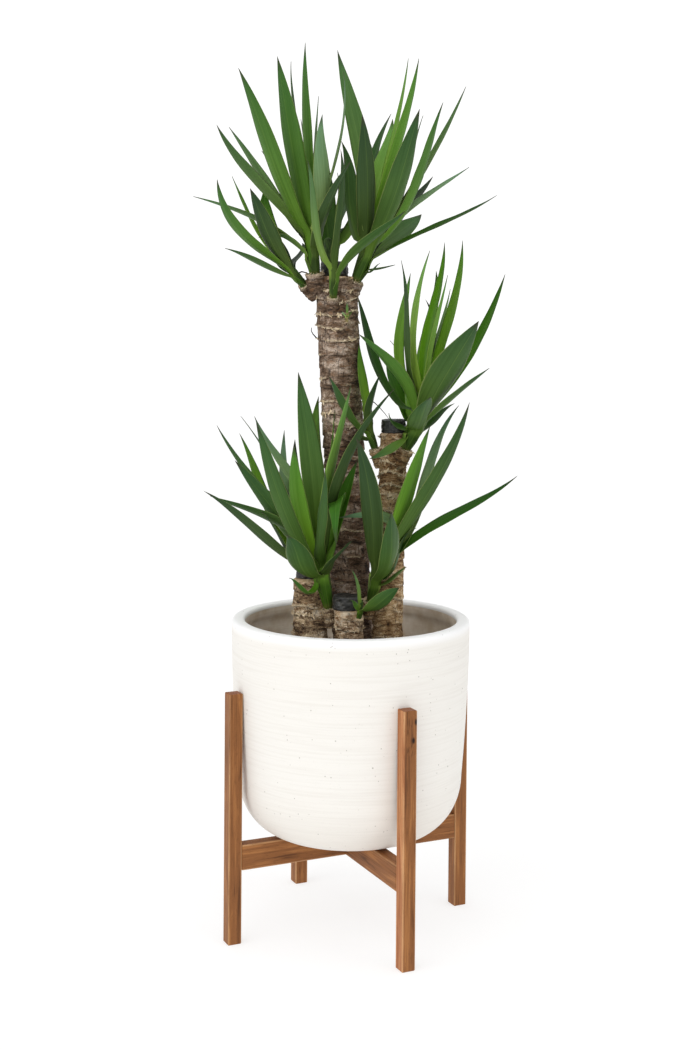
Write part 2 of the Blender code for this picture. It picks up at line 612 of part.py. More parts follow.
def blade(shoot, leaf, swing, extra=0.0, start=0.0):
    """A blade as points and triangles; extra makes it wider and thicker, start leaves its root part off."""
    root, tip, bow, bend, upper = leaf_curve(shoot, leaf, swing)
    points, faces = [], []
    stations = [s for s in BLADE_STATIONS if s >= start]
    for s in stations:
        centre = root.lerp(tip, s) + bow * (s * (1 - s)) + bend * (s * (1 - s) * (2 * s - 1))
        tangent = (tip - root + bow * (1 - 2 * s) + bend * (6 * s * (1 - s) - 1)).normalized()
        top = (upper - tangent * upper.dot(tangent)).normalized()
        share = min(s / TWIST_END, 1)
        angle = math.radians(leaf.turn) * share * share * (3 - 2 * share)
        across = tangent.cross(top)
        across, top = (across * math.cos(angle) + top * math.sin(angle),
                       top * math.cos(angle) - across * math.sin(angle))
        half = leaf.width * MM / 2 * outline(s) + extra
        thick = (BLADE_THICK * min(1, leaf.width / 12 + 0.2) * (0.5 + 0.5 * outline(s))) / 2 + extra
        fold = centre - top * (BLADE_FOLD * 2 * half * (1 - 0.4 * s))
        points += [centre - across * half, fold + top * thick, centre + across * half, fold - top * thick]
    last = 4 * (len(stations) - 1)
    for low in range(0, last, 4):
        high = low + 4
        for a, b, start_at_edge in ((0, 1, True), (1, 2, False), (2, 3, True), (3, 0, False)):
            if start_at_edge:
                faces += [(low + a, low + b, high + b), (low + a, high + b, high + a)]
            else:
                faces += [(low + a, low + b, high + a), (low + b, high + b, high + a)]
    points.append(tip)
    faces += [(last + a, last + (a + 1) % 4, last + 4) for a in range(4)]
    faces += [(0, 3, 1), (1, 3, 2)]
    return points, faces


def tree_of(bm):
    """A search tree of a bmesh's or an object's faces."""
    if isinstance(bm, bpy.types.Object):
        return BVHTree.FromPolygons([v.co for v in bm.data.vertices], [p.vertices for p in bm.data.polygons])
    return BVHTree.FromBMesh(bm)


def shoot_stem(shoot):
    """A shoot's own stem, from its plug in the cane's socket to its rounded head, as a bmesh."""
    foot, head, direction = shoot_axis(shoot)
    low, high = shoot.foot_radius * MM, shoot.head_radius * MM
    steps = [(-SOCKET_DEPTH, low), (0.0, low), (0.5 * (head - foot).length, (low + high) / 2),
             ((head - foot).length, high), ((head - foot).length + 0.7 * high, 0.6 * high)]
    placing = along(foot, direction)
    return tube([[placing @ point for point in round_loop(Vector((0, 0, distance)), radius, 10)]
                 for distance, radius in steps])


def place_leaves():
    """Swings each leaf just clear, in depth, of the canes, the pot and the leaves before it."""
    neighbours = ["pot", "soil", *CANES, *(name.replace("cane", "wax") for name in CANES)]
    solids = [tree_of(bpy.data.objects[name]) for name in neighbours]
    stems = {name: tree_of(shoot_stem(shoot)) for name, shoot in SHOOTS.items()}
    placed = []
    swings = {}
    tries = sorted((k for k in range(-SWING_STEPS, SWING_STEPS + 1)), key=lambda k: (abs(k), k))
    for name, shoot in SHOOTS.items():
        others = solids + [tree for other, tree in stems.items() if other != name]
        swings[name] = []
        for leaf in shoot.leaves:
            best, fewest = None, 1000
            for k in tries:
                swing = k * SWING_STEP
                whole = BVHTree.FromPolygons(*blade(shoot, leaf, swing, CLEARANCE))
                if any(whole.overlap(tree) for tree in others):
                    continue
                if any(owner != name and whole.overlap(full) for owner, full, _ in placed):
                    continue
                free = BVHTree.FromPolygons(*blade(shoot, leaf, swing, CLEARANCE, FREE_FROM))
                crossings = sum(len(free.overlap(part)) for owner, _, part in placed if owner == name)
                if crossings < fewest:
                    best, fewest = swing, crossings
                if not crossings:
                    break
            if best is None:
                continue
            swings[name].append((leaf, best))
            placed.append((name, BVHTree.FromPolygons(*blade(shoot, leaf, best)),
                           BVHTree.FromPolygons(*blade(shoot, leaf, best, 0.0, FREE_FROM))))
    return swings


def build_shoots(green):
    """The leafy shoots, each one body: its stem with its leaves fused to it."""
    for name, leaves in place_leaves().items():
        shoot = SHOOTS[name]
        obj = object_from(name, shoot_stem(shoot), green)
        blades = []
        for leaf, swing in leaves:
            points, faces = blade(shoot, leaf, swing)
            bm = bmesh.new()
            verts = [bm.verts.new(point) for point in points]
            for face in faces:
                bm.faces.new([verts[index] for index in face])
            blades.append(bm)
        combine(obj, "UNION", blades)
        keep_outer_shell(obj)


def main():
    """Builds the whole plant."""
    clear_scene()
    stand_wood = principled("Stand wood", (0.36, 0.19, 0.09), 0.55)
    dowel_wood = principled("Dowel wood", (0.62, 0.47, 0.3), 0.6)
    build_stand(stand_wood, dowel_wood)
    build_pot(principled("Pot ceramic", (0.84, 0.81, 0.77), 0.7))
    build_soil(principled("Soil", (0.06, 0.04, 0.03), 0.95))
    bark = principled("Bark", (0.32, 0.22, 0.15), 0.9)
    build_canes(bark, principled("Wax", (0.015, 0.015, 0.017), 0.5))
    build_shoots(principled("Leaf", (0.08, 0.22, 0.04), 0.45))


main()
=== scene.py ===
"""Dresses the potted yucca: oiled wood, thrown stoneware, potting soil, ringed bark, sealing wax and leaves.

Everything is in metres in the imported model's frame: +X to the right, +Y to the back, +Z up.
"""
import json
import logging
import math
from collections.abc import Callable, Sequence
from dataclasses import dataclass, field
from enum import Enum
from functools import partial

import bmesh
import bpy
import numpy as np
from mathutils import Matrix, Vector, noise
from mathutils.bvhtree import BVHTree

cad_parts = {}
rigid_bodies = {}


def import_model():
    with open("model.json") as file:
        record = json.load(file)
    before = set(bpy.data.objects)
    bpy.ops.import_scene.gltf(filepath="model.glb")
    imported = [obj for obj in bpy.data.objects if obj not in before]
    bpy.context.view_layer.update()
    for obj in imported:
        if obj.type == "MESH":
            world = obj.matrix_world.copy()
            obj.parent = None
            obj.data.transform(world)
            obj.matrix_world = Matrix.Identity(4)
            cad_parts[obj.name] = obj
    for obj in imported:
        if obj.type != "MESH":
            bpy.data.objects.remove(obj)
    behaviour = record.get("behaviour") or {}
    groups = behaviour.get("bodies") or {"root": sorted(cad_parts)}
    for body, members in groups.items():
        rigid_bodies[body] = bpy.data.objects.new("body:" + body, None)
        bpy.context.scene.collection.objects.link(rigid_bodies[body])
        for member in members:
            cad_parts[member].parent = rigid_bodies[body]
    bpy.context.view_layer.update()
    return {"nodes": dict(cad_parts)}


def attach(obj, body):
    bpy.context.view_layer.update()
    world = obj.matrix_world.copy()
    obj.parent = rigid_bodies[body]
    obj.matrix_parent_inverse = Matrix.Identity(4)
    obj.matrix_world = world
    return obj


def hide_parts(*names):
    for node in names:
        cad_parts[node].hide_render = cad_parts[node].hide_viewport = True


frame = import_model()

LOG = logging.getLogger("yucca")
BODY = "root"
MM = 0.001
FIT = 0.3 * MM

# Node kinds
NOISE = "ShaderNodeTexNoise"
CELLS = "ShaderNodeTexVoronoi"
RAMP = "ShaderNodeValToRGB"
MIX = "ShaderNodeMix"
MATH = "ShaderNodeMath"
VECTOR = "ShaderNodeVectorMath"
RANGE = "ShaderNodeMapRange"  # its row: the value, from low, from high, to low, to high
MAPPING = "ShaderNodeMapping"
SPLIT = "ShaderNodeSeparateXYZ"
JOIN = "ShaderNodeCombineXYZ"
PLACE = "ShaderNodeTexCoord"
LEAF_PLACE = "ShaderNodeUVMap"
CARRIED = "ShaderNodeAttribute"
BUMP = "ShaderNodeBump"
RANDOM = "FunctionNodeRandomValue"
# Has a Mix node mix colours: the share is its input 0, the colours are 6 and 7 and the result is output 2
RGBA = {"out": 2, "data_type": "RGBA"}

# Kinds of sizes
Pair = tuple[float, float]
Triple = tuple[float, float, float]
Row = tuple[float, ...]
Rows = tuple[Row, ...]

# Sizes shared with the solids
LEG_HEIGHT = 328 * MM
BAR_TOP = 129 * MM
POT_RADIUS = 160 * MM
POT_TOP = 415 * MM
POT_BASE = BAR_TOP + FIT
POT_TAPER = 1.6 * MM
POT_FLARE = 7.7 * MM
CORNER_HEIGHT = 77 * MM
WALL = 13 * MM
FLOOR = 14 * MM
SOIL_TOP = 344 * MM
SOIL_MOUND = 5 * MM
SOIL_ROUGH = 1.2 * MM
SOCKET_DEPTH = 10 * MM
BLADE_THICK = 1.5 * MM
BLADE_BASE = 0.42
BLADE_POINT = 1.7
BLADE_FOLD = 0.16
# How much slimmer than in the solids a dressed stem is at its foot
STEM_WAIST = 0.32


def put(name: str, data: bpy.types.ID) -> bpy.types.Object:
    """Puts a mesh, lamp or camera in the scene, at the origin.

    Args:
        name: the object's name.
        data: the mesh, lamp or camera.

    Returns:
        The object.
    """
    made = bpy.data.objects.new(name, data)
    bpy.context.scene.collection.objects.link(made)
    return made


def plain_mesh(name: str, points: Sequence, faces: Sequence[tuple[int, ...]]) -> bpy.types.Mesh:
    """Makes a mesh of points and faces.

    Args:
        name: its name.
        points: rows of x, y and z.
        faces: point numbers, face by face.

    Returns:
        The mesh.
    """
    mesh = bpy.data.meshes.new(name)
    mesh.from_pydata(points, [], faces)
    return mesh


def finish_shell(shell: bmesh.types.BMesh, mesh: bpy.types.Mesh) -> bpy.types.Mesh:
    """Writes an edited shell to a mesh and lets go of it.

    Args:
        shell: the shell.
        mesh: the mesh that it becomes.

    Returns:
        The same mesh.
    """
    shell.to_mesh(mesh)
    shell.free()
    return mesh


def mm(point: Sequence[float]) -> Vector:
    """A point in millimetres as one in metres."""
    return Vector(point) * MM


class Tone(Enum):
    """A leaf's green: each leaf's own green, made darker as painted shade on shaded inner leaves and lighter
    as painted light on sunlit young ones, so that it matches how bright the leaf looks.
    """

    DEEP = "#223f12"
    DARK = "#325819"
    MID = "#48781c"
    FRESH = "#63981a"
    GREY = "#5d8040"
    BRIGHT = "#7cab36"
    PALE = "#8aa973"
    LIME = "#90be50"


@dataclass(frozen=True)
class Leaf:
    """One leaf: degrees and millimetres, as in the solids, and its tone."""

    heading: float
    lean: float
    length: float
    width: float
    arch: float
    sway: float
    turn: float
    hook: float
    drift: float
    tone: Tone

    def outline(self, s: float) -> float:
        """Finds the blade's width along its length.

        Args:
            s: the place along it, 0 at its root and 1 at its tip.

        Returns:
            The width, as a share of its widest.
        """
        if s < 0.5:
            return BLADE_BASE + (1 - BLADE_BASE) * math.sin(math.pi * s)
        return 1 - ((s - 0.5) / 0.5) ** BLADE_POINT

    def half(self, s: float) -> float:
        """Half the blade's width at a place along it, in metres."""
        return self.width * MM / 2 * self.outline(s)

    def thick(self, s: float) -> float:
        """Half the blade's thickness at a place along it, in metres."""
        return BLADE_THICK * min(1, self.width / 12 + 0.2) * (0.5 + 0.5 * self.outline(s)) / 2


@dataclass(frozen=True)
class Shoot:
    """A leafy shoot: its cane, its stem's foot, head and radii in millimetres, and its leaves."""

    cane: str
    foot: Triple
    head: Triple
    foot_radius: float
    head_radius: float
    lowest: float
    leaves: tuple[Leaf, ...]

    def ends(self) -> tuple[Vector, Vector]:
        """The stem's foot and head, in metres."""
        return mm(self.foot), mm(self.head)

    def placing(self) -> Matrix:
        """Moves an upright stem from the origin to its place."""
        foot, head = self.ends()
        return Matrix.Translation(foot) @ (head - foot).to_track_quat("Z", "Y").to_matrix().to_4x4()

    def seat(self, leaf: Leaf) -> Vector:
        """Where a leaf sits on the stem: the flatter it lies, the lower."""
        foot, head = self.ends()
        return foot.lerp(head, min(1.0, max(self.lowest, 1.0 - leaf.lean / 100)))

    def girth(self, share: float) -> float:
        """The dressed stem's radius at a share of its length, slimmer toward its foot."""
        radius = (self.foot_radius + (self.head_radius - self.foot_radius) * share) * MM
        return radius * (1 - STEM_WAIST * (1 - share) ** 1.5)


@dataclass(frozen=True)
class Cane:
    """A cane from its foot in the soil to its sawn top, with the wax on it, in millimetres."""

    foot: Triple
    top: Triple
    foot_radius: float
    top_radius: float
    wax_shift: Pair
    wax_radius: float
    wax_height: float
    cut_band: float


CANES = {
    "cane_tall": Cane((12.6, 33, 205), (-24, 28, 874), 27.5, 28.5, (-2, 2), 19.5, 22, 3),
    "cane_middle": Cane((45.6, -4, 235), (56, 2, 664), 21.5, 18.4, (0, 0), 17.5, 19.5, 4),
    "cane_left": Cane((-53, -8, 235), (-54.5, -8, 468), 24, 23, (-4, 6), 16, 10, 4),
    "cane_front": Cane((1.5, -44, 250), (-3, -45, 434), 18.4, 19, (-2, 0), 19.5, 20, 12),
}


# Each leaf's heading is 0 to the right and 90 to the back; the flattest leaf of each shoot comes first
SHOOTS = {
    "shoot_top_left": Shoot("cane_tall", (-67, 14, 863), (-90, -6, 891), 6.5, 5.0, 0.3, (
        Leaf(110, 60, 120, 23, -1.5, 5, 20, 1, -1.5, Tone.DEEP),
        Leaf(-148, 72, 118, 20, 0.5, -0.5, -10, 1.5, 0.5, Tone.DARK),
        Leaf(89, 65, 121, 19, 0.5, 7, 30, -1, -6.5, Tone.DEEP),
        Leaf(-143, 46, 171, 24, -16, -8.5, -10, -3, -1.5, Tone.MID),
        Leaf(-128, 40, 138, 28, -2.5, -2.5, -10, 1, 1, Tone.DEEP),
        Leaf(155, 36, 161, 17, -8.5, 3, -5, 1.5, -0.5, Tone.BRIGHT),
        Leaf(121, 35, 142, 32, -6.5, 9, -10, 0, -0.5, Tone.LIME),
    )),
    "shoot_top_fan": Shoot("cane_tall", (-52, 6, 878), (-57, -4, 941), 9.5, 6.0, 0.3, (
        Leaf(-165, 71, 81, 18, 15, 1, -10, 2, 0, Tone.GREY),
        Leaf(-166, 65, 181, 21, 12.5, 1.5, -10, -1, 0, Tone.GREY),
        Leaf(-75, 61, 222, 23.5, 3, -8.5, -30, 0, 0, Tone.DEEP),
        Leaf(118, 49, 225, 41, 5.5, -7.5, -15, 1, -1.5, Tone.DEEP),
        Leaf(135, 45, 249, 27.5, 0.5, 0, -10, 0.5, -0.5, Tone.GREY),
        Leaf(153, 42, 229, 31, -1.5, 0, 10, -3.5, 1.5, Tone.GREY),
        Leaf(98, 41, 252, 29, 1.5, -7, -65, -0.5, 1, Tone.DEEP),
        Leaf(-130, 34, 259, 29, -1.5, -1.5, -5, 1.5, 1.5, Tone.MID),
        Leaf(-81, 30, 181, 31, -1, 5.5, -40, 0.5, -4, Tone.PALE),
        Leaf(-119, 22, 245, 32.5, 0, 0, 5, 0, 0.5, Tone.MID),
        Leaf(84, 17, 202, 22, 0.5, 2.5, 75, 0, 0, Tone.GREY),
        Leaf(122, 14, 245, 24.5, 0, -1.5, -50, -2, 3, Tone.DARK),
        Leaf(37, 13, 226, 20, -9, -5.5, 30, -2, -1.5, Tone.PALE),
        Leaf(-116, 5, 246, 21, -0.5, 0, 25, -0.5, -1.5, Tone.MID),
    )),
    "shoot_top_front": Shoot("cane_tall", (-27, -4, 846), (-26, -24, 892), 6.0, 6.0, 0.3, (
        Leaf(-28, 50, 138, 25, 7.5, -3.5, 10, -2.5, 1, Tone.DARK),
        Leaf(-86, 40, 202, 16.5, -0.5, 3, -50, 0, 2.5, Tone.DEEP),
        Leaf(-113, 31, 160, 19.5, -3.5, -6, 35, 1.5, 3, Tone.GREY),
        Leaf(-71, 18, 150, 16, 0.5, -2, -40, 0, 0, Tone.DARK),
        Leaf(-83, 14, 127, 18.5, -1, 2, -70, 0, 2, Tone.DEEP),
    )),
    "shoot_top_right": Shoot("cane_tall", (3, 20, 868), (22, 12, 923), 9.0, 6.5, 0.3, (
        Leaf(22, 83, 53, 8.5, -2, 0, 20, 0.5, 0, Tone.DEEP),
        Leaf(-20, 76, 30, 7, -5.5, 0.5, 5, 2.5, 0, Tone.DEEP),
        Leaf(56, 63, 175, 42, 5.5, 3.5, -25, -2.5, -1.5, Tone.GREY),
        Leaf(-13, 63, 207, 17, 3.5, 0, -28, -3, 0.5, Tone.DARK),
        Leaf(50, 51, 201, 36.5, 3.5, 2.5, 10, -2, -1, Tone.DEEP),
        Leaf(22, 50, 208, 23, 13, 3.5, -10, -2.5, -0.5, Tone.PALE),
        Leaf(-58, 35, 223, 34.5, -3, 4, 0, 0.5, -1, Tone.DARK),
        Leaf(30, 34, 290, 20, -6.5, -3, 0, -0.5, 0, Tone.GREY),
        Leaf(74, 33, 247, 32, 5.5, 15.5, 40, 0, 0.5, Tone.DARK),
        Leaf(-94, 29, 198, 32, 0, 2, -40, 0, 0.5, Tone.DEEP),
        Leaf(-17, 28, 225, 27, -15, 4.5, 12, 4, -1, Tone.MID),
        Leaf(37, 27, 216, 22, -9.5, -6.5, 30, 3.5, 2.5, Tone.DARK),
        Leaf(-120, 26, 157, 34, -0.5, -1.5, 25, 2, 3.5, Tone.DARK),
        Leaf(66, 25, 208, 32, 4, 6, 5, -2.5, -4.5, Tone.LIME),
        Leaf(59, 22, 295, 22.5, 0, -1, 40, -1, -1.5, Tone.BRIGHT),
        Leaf(-40, 19, 262, 28, 0, -0.5, -10, -2, 1.5, Tone.FRESH),
        Leaf(135, 13, 278, 32, 9, -9, 15, -2, 2, Tone.GREY),
    )),
    "shoot_top_back": Shoot("cane_tall", (-33, 59, 866), (-36, 80, 925), 8.0, 6.0, 0.3, (
        Leaf(77, 67, 125, 30.5, 8.5, 12, 15, 1.5, 2, Tone.DEEP),
        Leaf(65, 61, 147, 36.5, 14.5, 13, 10, -2, -2, Tone.DEEP),
        Leaf(99, 53, 149, 18.5, -1.5, 8, -40, 0, -0.5, Tone.DARK),
        Leaf(76, 42, 182, 47, 0.5, 2.5, 40, -1.5, -4.5, Tone.DARK),
        Leaf(117, 42, 191, 21, 2.5, -4.5, -20, 2.5, -4, Tone.DARK),
        Leaf(96, 31, 217, 38.5, -0.5, 1, -35, -0.5, 3, Tone.DARK),
        Leaf(59, 31, 203, 32, -13, -18, 15, -0.5, -0.5, Tone.GREY),
    )),
    "shoot_middle_right": Shoot("cane_middle", (71, -12, 643), (99, -20, 704), 9.0, 7.0, 0.3, (
        Leaf(-145, 112, 75, 15.5, -2, 1.5, 25, -0.5, 0.5, Tone.GREY),
        Leaf(45, 66, 93, 17, 0, 0, 5, 2, 1, Tone.DARK),
        Leaf(-78, 60, 100, 37, 2.5, -3.5, -25, 0.5, -0.5, Tone.DARK),
        Leaf(-164, 57, 43, 16, -6.5, -0.5, 30, -1.5, 0, Tone.DARK),
        Leaf(107, 56, 152, 27, 0, -1, -20, 0, 0, Tone.MID),
        Leaf(102, 53, 191, 16.5, 1.5, -5.5, -60, 1.5, -4.5, Tone.FRESH),
        Leaf(76, 53, 218, 28.5, -0.5, -1.5, 30, 0.5, 1, Tone.DARK),
        Leaf(-26, 52, 133, 20, 3, -0.5, 10, 0, 0, Tone.DARK),
        Leaf(-149, 39, 151, 26, 15.5, 8, -15, -2, -1, Tone.MID),
        Leaf(-46, 38, 171, 50, 4.5, -4, 15, -1, 0.5, Tone.DARK),
        Leaf(27, 34, 238, 21.5, -10.5, -5, -9, 0, 0, Tone.MID),
        Leaf(84, 34, 195, 24, -0.5, -9.5, 70, -0.5, -7, Tone.DARK),
        Leaf(65, 32, 208, 29.5, 2.5, 4.5, 55, -1, -2, Tone.FRESH),
        Leaf(145, 32, 197, 26.5, -14.5, 8.5, -5, 3.5, -2.5, Tone.DARK),
        Leaf(74, 21, 207, 29, 1, 5, 40, -1.5, -5.5, Tone.FRESH),
        Leaf(-118, 19, 213, 19, -3, -4.5, 40, 2, 4, Tone.DEEP),
        Leaf(37, 16, 240, 23.5, -3, -2, 5, -2.5, -2.5, Tone.BRIGHT),
        Leaf(-51, 14, 186, 20.5, 4.5, -5, -30, -1, 1, Tone.BRIGHT),
        Leaf(122, 11, 186, 23, -13.5, 19.5, -20, 2.5, -4, Tone.LIME),
        Leaf(-83, 8, 211, 18.5, 3, -19, 70, 0, 1, Tone.LIME),
        Leaf(37, 8, 224, 26, 7, 6.5, 10, -4.5, -4, Tone.FRESH),
    )),
    "shoot_middle_left": Shoot("cane_middle", (31, 2, 642), (21, -4, 674), 6.0, 4.5, 0.3, (
        Leaf(115, 106, 69, 20, 15.5, 7.5, -5, 1.5, 1, Tone.DEEP),
        Leaf(-136, 44, 113, 22, -4.5, -3.5, 5, 1.5, 1, Tone.DARK),
        Leaf(-75, 30, 93, 22.5, 3, -7.5, -45, -0.5, 1, Tone.DEEP),
        Leaf(110, 20, 124, 22.5, 0.5, 0, -35, -0.5, 1, Tone.BRIGHT),
    )),
    "shoot_low_left": Shoot("cane_left", (-30, -21, 431), (-43, -27, 501), 8.0, 6.5, 0.6, (
        Leaf(-150, 83, 50, 14.5, -16.5, 1.5, 0, 6.5, -1, Tone.MID),
        Leaf(-81, 64, 135, 31, 84, 13.5, -30, 2, -3.5, Tone.MID),
        Leaf(-115, 57, 126, 37, -5, -4, -5, 3.5, 3, Tone.DARK),
        Leaf(-65, 57, 112, 32, 4.5, -4.5, -35, -0.5, 0.5, Tone.DEEP),
        Leaf(-169, 54, 187, 18.5, 26, 0, -40, -5, 0, Tone.DARK),
        Leaf(-159, 54, 204, 16.5, -0.5, 0, -45, 3, 0, Tone.DEEP),
        Leaf(99, 51, 143, 23, 0, 1.5, -30, 0, 1, Tone.DEEP),
        Leaf(105, 45, 242, 29.5, -3.5, 12.5, -35, 0.5, -1, Tone.DEEP),
        Leaf(-166, 43, 122, 17, -7.5, 0, -5, 4.5, 0.5, Tone.DEEP),
        Leaf(84, 43, 118, 19.5, -1, -4.5, 50, 0.5, 3, Tone.DEEP),
        Leaf(134, 40, 269, 25.5, 8, -8, -40, 1, -1, Tone.DEEP),
        Leaf(158, 39, 253, 25, 1.5, -1, 0, -3, 1.5, Tone.GREY),
        Leaf(143, 39, 236, 30, -11.5, 9, -10, 4, -3, Tone.BRIGHT),
        Leaf(-166, 38, 196, 27, 5, 0.5, -55, -1, 0, Tone.DARK),
        Leaf(116, 36, 226, 25, -9.5, 19, -30, 1, -2, Tone.PALE),
        Leaf(-130, 32, 244, 23.5, -7.5, -5.5, -25, 1.5, 1, Tone.DARK),
        Leaf(142, 31, 237, 23, 14.5, -11.5, 0, -6, 5, Tone.PALE),
        Leaf(-86, 27, 157, 26, 0, -1.5, 65, 0, 2, Tone.DARK),
        Leaf(-38, 26, 274, 28, 22, -14, -5, 0.5, 0, Tone.DEEP),
        Leaf(-12, 19, 150, 30.5, 3.5, -0.5, -50, 0, 0, Tone.MID),
        Leaf(-135, 17, 169, 27.5, -6.5, -6, -15, 0, 0, Tone.FRESH),
        Leaf(95, 14, 227, 34.5, 0, 7, -40, 0, 1.5, Tone.LIME),
        Leaf(-49, 14, 248, 26, 6.5, -7, -20, -1.5, 2, Tone.LIME),
        Leaf(136, 10, 255, 34, 4, -4, 20, -0.5, 0.5, Tone.GREY),
        Leaf(-55, 9, 205, 17, 0.5, 0.5, -50, 0, 0, Tone.FRESH),
    )),
    "shoot_low_right": Shoot("cane_middle", (27, -13, 440), (35, -40, 494), 7.5, 6.0, 0.3, (
        Leaf(-25, 59, 55, 18.5, -2.5, 0.5, -20, 1, 0, Tone.GREY),
        Leaf(-83, 53, 188, 31, -2, 8.5, -30, 0.5, -2, Tone.DARK),
        Leaf(-17, 52, 244, 16, 13.5, 0, -50, -6.5, 0, Tone.DARK),
        Leaf(48, 48, 110, 22, -0.5, -0.5, 35, 5, 4.5, Tone.DEEP),
        Leaf(174, 33, 93, 24, 58.5, -8, 20, -1, 0, Tone.PALE),
        Leaf(-23, 29, 266, 24, -5.5, 1.5, 35, -3, 1, Tone.DARK),
        Leaf(-106, 28, 213, 28, 3, 7, -5, 0.5, 1, Tone.DEEP),
        Leaf(15, 27, 251, 30.5, -5, -1.5, -10, 8, 2.5, Tone.PALE),
        Leaf(-12, 20, 206, 32, -1, 0, 30, 1, 0, Tone.FRESH),
    )),
    "shoot_low_front": Shoot("cane_front", (11, -60, 426), (13, -70, 448), 4.0, 3.2, 0.3, (
        Leaf(-42, 60, 78, 21, -1.5, 0.5, 50, 1.5, 0, Tone.DARK),
        Leaf(-124, 56, 29, 8, 2, 1, 0, 1.5, 1, Tone.MID),
        Leaf(-115, 28, 59, 9, 2, 3, 30, 0, 0.5, Tone.GREY),
    )),
    "sprout": Shoot("cane_tall", (-8.5, -1, 814), (-7.5, -8, 824), 2.4, 1.8, 0.3, (
        Leaf(-140, 52, 12, 4, 0, 0, 0, 0, 0, Tone.PALE),
        Leaf(-30, 45, 11, 4, 0, 0, 0, 0, 0, Tone.MID),
        Leaf(-95, 22, 18, 4, 0, 0, 20, 0, 0, Tone.GREY),
    )),
}


def linear(colour: str) -> tuple[float, float, float, float]:
    """Turns an sRGB hex colour to linear light.

    Args:
        colour: the colour as #rrggbb.

    Returns:
        Red, green, blue and an alpha of 1.
    """
    parts = [int(colour[i:i + 2], 16) / 255 for i in (1, 3, 5)]
    light = [p / 12.92 if p <= 0.04045 else ((p + 0.055) / 1.055) ** 2.4 for p in parts]
    return (light[0], light[1], light[2], 1.0)


def add_node(tree: bpy.types.NodeTree, kind: str, inputs: dict | Sequence = (), out: int | str = 0,
             stops: Sequence[tuple[float, str]] = (), **settings: object) -> bpy.types.NodeSocket:
    """Adds a node with its settings and links.

    Args:
        tree: the tree it goes in.
        kind: the node's type.
        inputs: what each input gets, by its name or number, or a row for the first ones in order: a socket
            is linked, a hex colour is turned to linear light and anything else is set as it is.
        out: the name or number of the output that is wanted.
        stops: a colour ramp's places with their hex colours, in order.
        settings: the node's own properties.

    Returns:
        The wanted output.
    """
    made = tree.nodes.new(kind)
    for name, value in settings.items():
        setattr(made, name, value)
    for name, value in inputs.items() if isinstance(inputs, dict) else enumerate(inputs):
        if isinstance(value, bpy.types.NodeSocket):
            tree.links.new(value, made.inputs[name])
        elif isinstance(value, str) and value.startswith("#"):
            made.inputs[name].default_value = linear(value)
        else:
            made.inputs[name].default_value = value
    for number, (place, colour) in enumerate(stops):
        elements = made.color_ramp.elements
        stop = elements[number] if number < len(elements) else elements.new(place)
        stop.position, stop.color = place, linear(colour)
    return made.outputs[out]


def start_material(name: str) -> tuple[bpy.types.Material, Callable, bpy.types.Node]:
    """Makes a named material.

    Args:
        name: the finish's name.

    Returns:
        The material, add_node for its tree, and its Principled shader.
    """
    material = bpy.data.materials.new(name)
    material.use_nodes = True
    return material, partial(add_node, material.node_tree), material.node_tree.nodes["Principled BSDF"]


def feed(add: Callable, shader: bpy.types.Node, colour: bpy.types.NodeSocket,
         roughness: bpy.types.NodeSocket, height: bpy.types.NodeSocket, depth: float, strength: float,
         specular: float) -> None:
    """Feeds a shader its colour, roughness and relief.

    Args:
        add: add_node for the material's tree.
        shader: its Principled shader.
        colour: the colour.
        roughness: the roughness.
        height: the relief, 0 to 1.
        depth: how deep the relief is, in metres.
        strength: how strongly it tilts the surface.
        specular: the specular level.
    """
    relief = add(BUMP, {"Height": height, "Distance": depth, "Strength": strength})
    links = shader.id_data.links
    for name, socket in (("Base Color", colour), ("Roughness", roughness), ("Normal", relief)):
        links.new(socket, shader.inputs[name])
    shader.inputs["Specular IOR Level"].default_value = specular


def rough_noise(points: np.ndarray, size: float, seed: float = 0.0) -> np.ndarray:
    """Reads smooth noise at each point.

    Args:
        points: rows of x, y and z.
        size: the size of its lumps, in metres.
        seed: moves it to another part of the noise.

    Returns:
        A value from about -1 to 1 for each point.
    """
    shift = Vector((seed * 7.31, seed * 3.17, seed * 5.71))
    return np.array([noise.noise(Vector(p) / size + shift) for p in points])


def ring_faces(rows: int, columns: int) -> list[tuple[int, ...]]:
    """Faces between loops of points that are laid row by row.

    Args:
        rows: how many loops there are.
        columns: the points in each.

    Returns:
        Four point numbers for each face.
    """
    faces = []
    for low in range(0, (rows - 1) * columns, columns):
        for column in range(columns):
            after = (column + 1) % columns
            faces.append((low + column, low + after, low + columns + after, low + columns + column))
    return faces


def capped(rows: int, columns: int) -> list[tuple[int, ...]]:
    """Faces of a closed tube of loops, with a flat face at each end.

    Args:
        rows: how many loops there are.
        columns: the points in each.

    Returns:
        Point numbers, face by face.
    """
    top = (rows - 1) * columns
    ends = [tuple(range(columns - 1, -1, -1)), tuple(range(top, top + columns))]
    return ring_faces(rows, columns) + ends


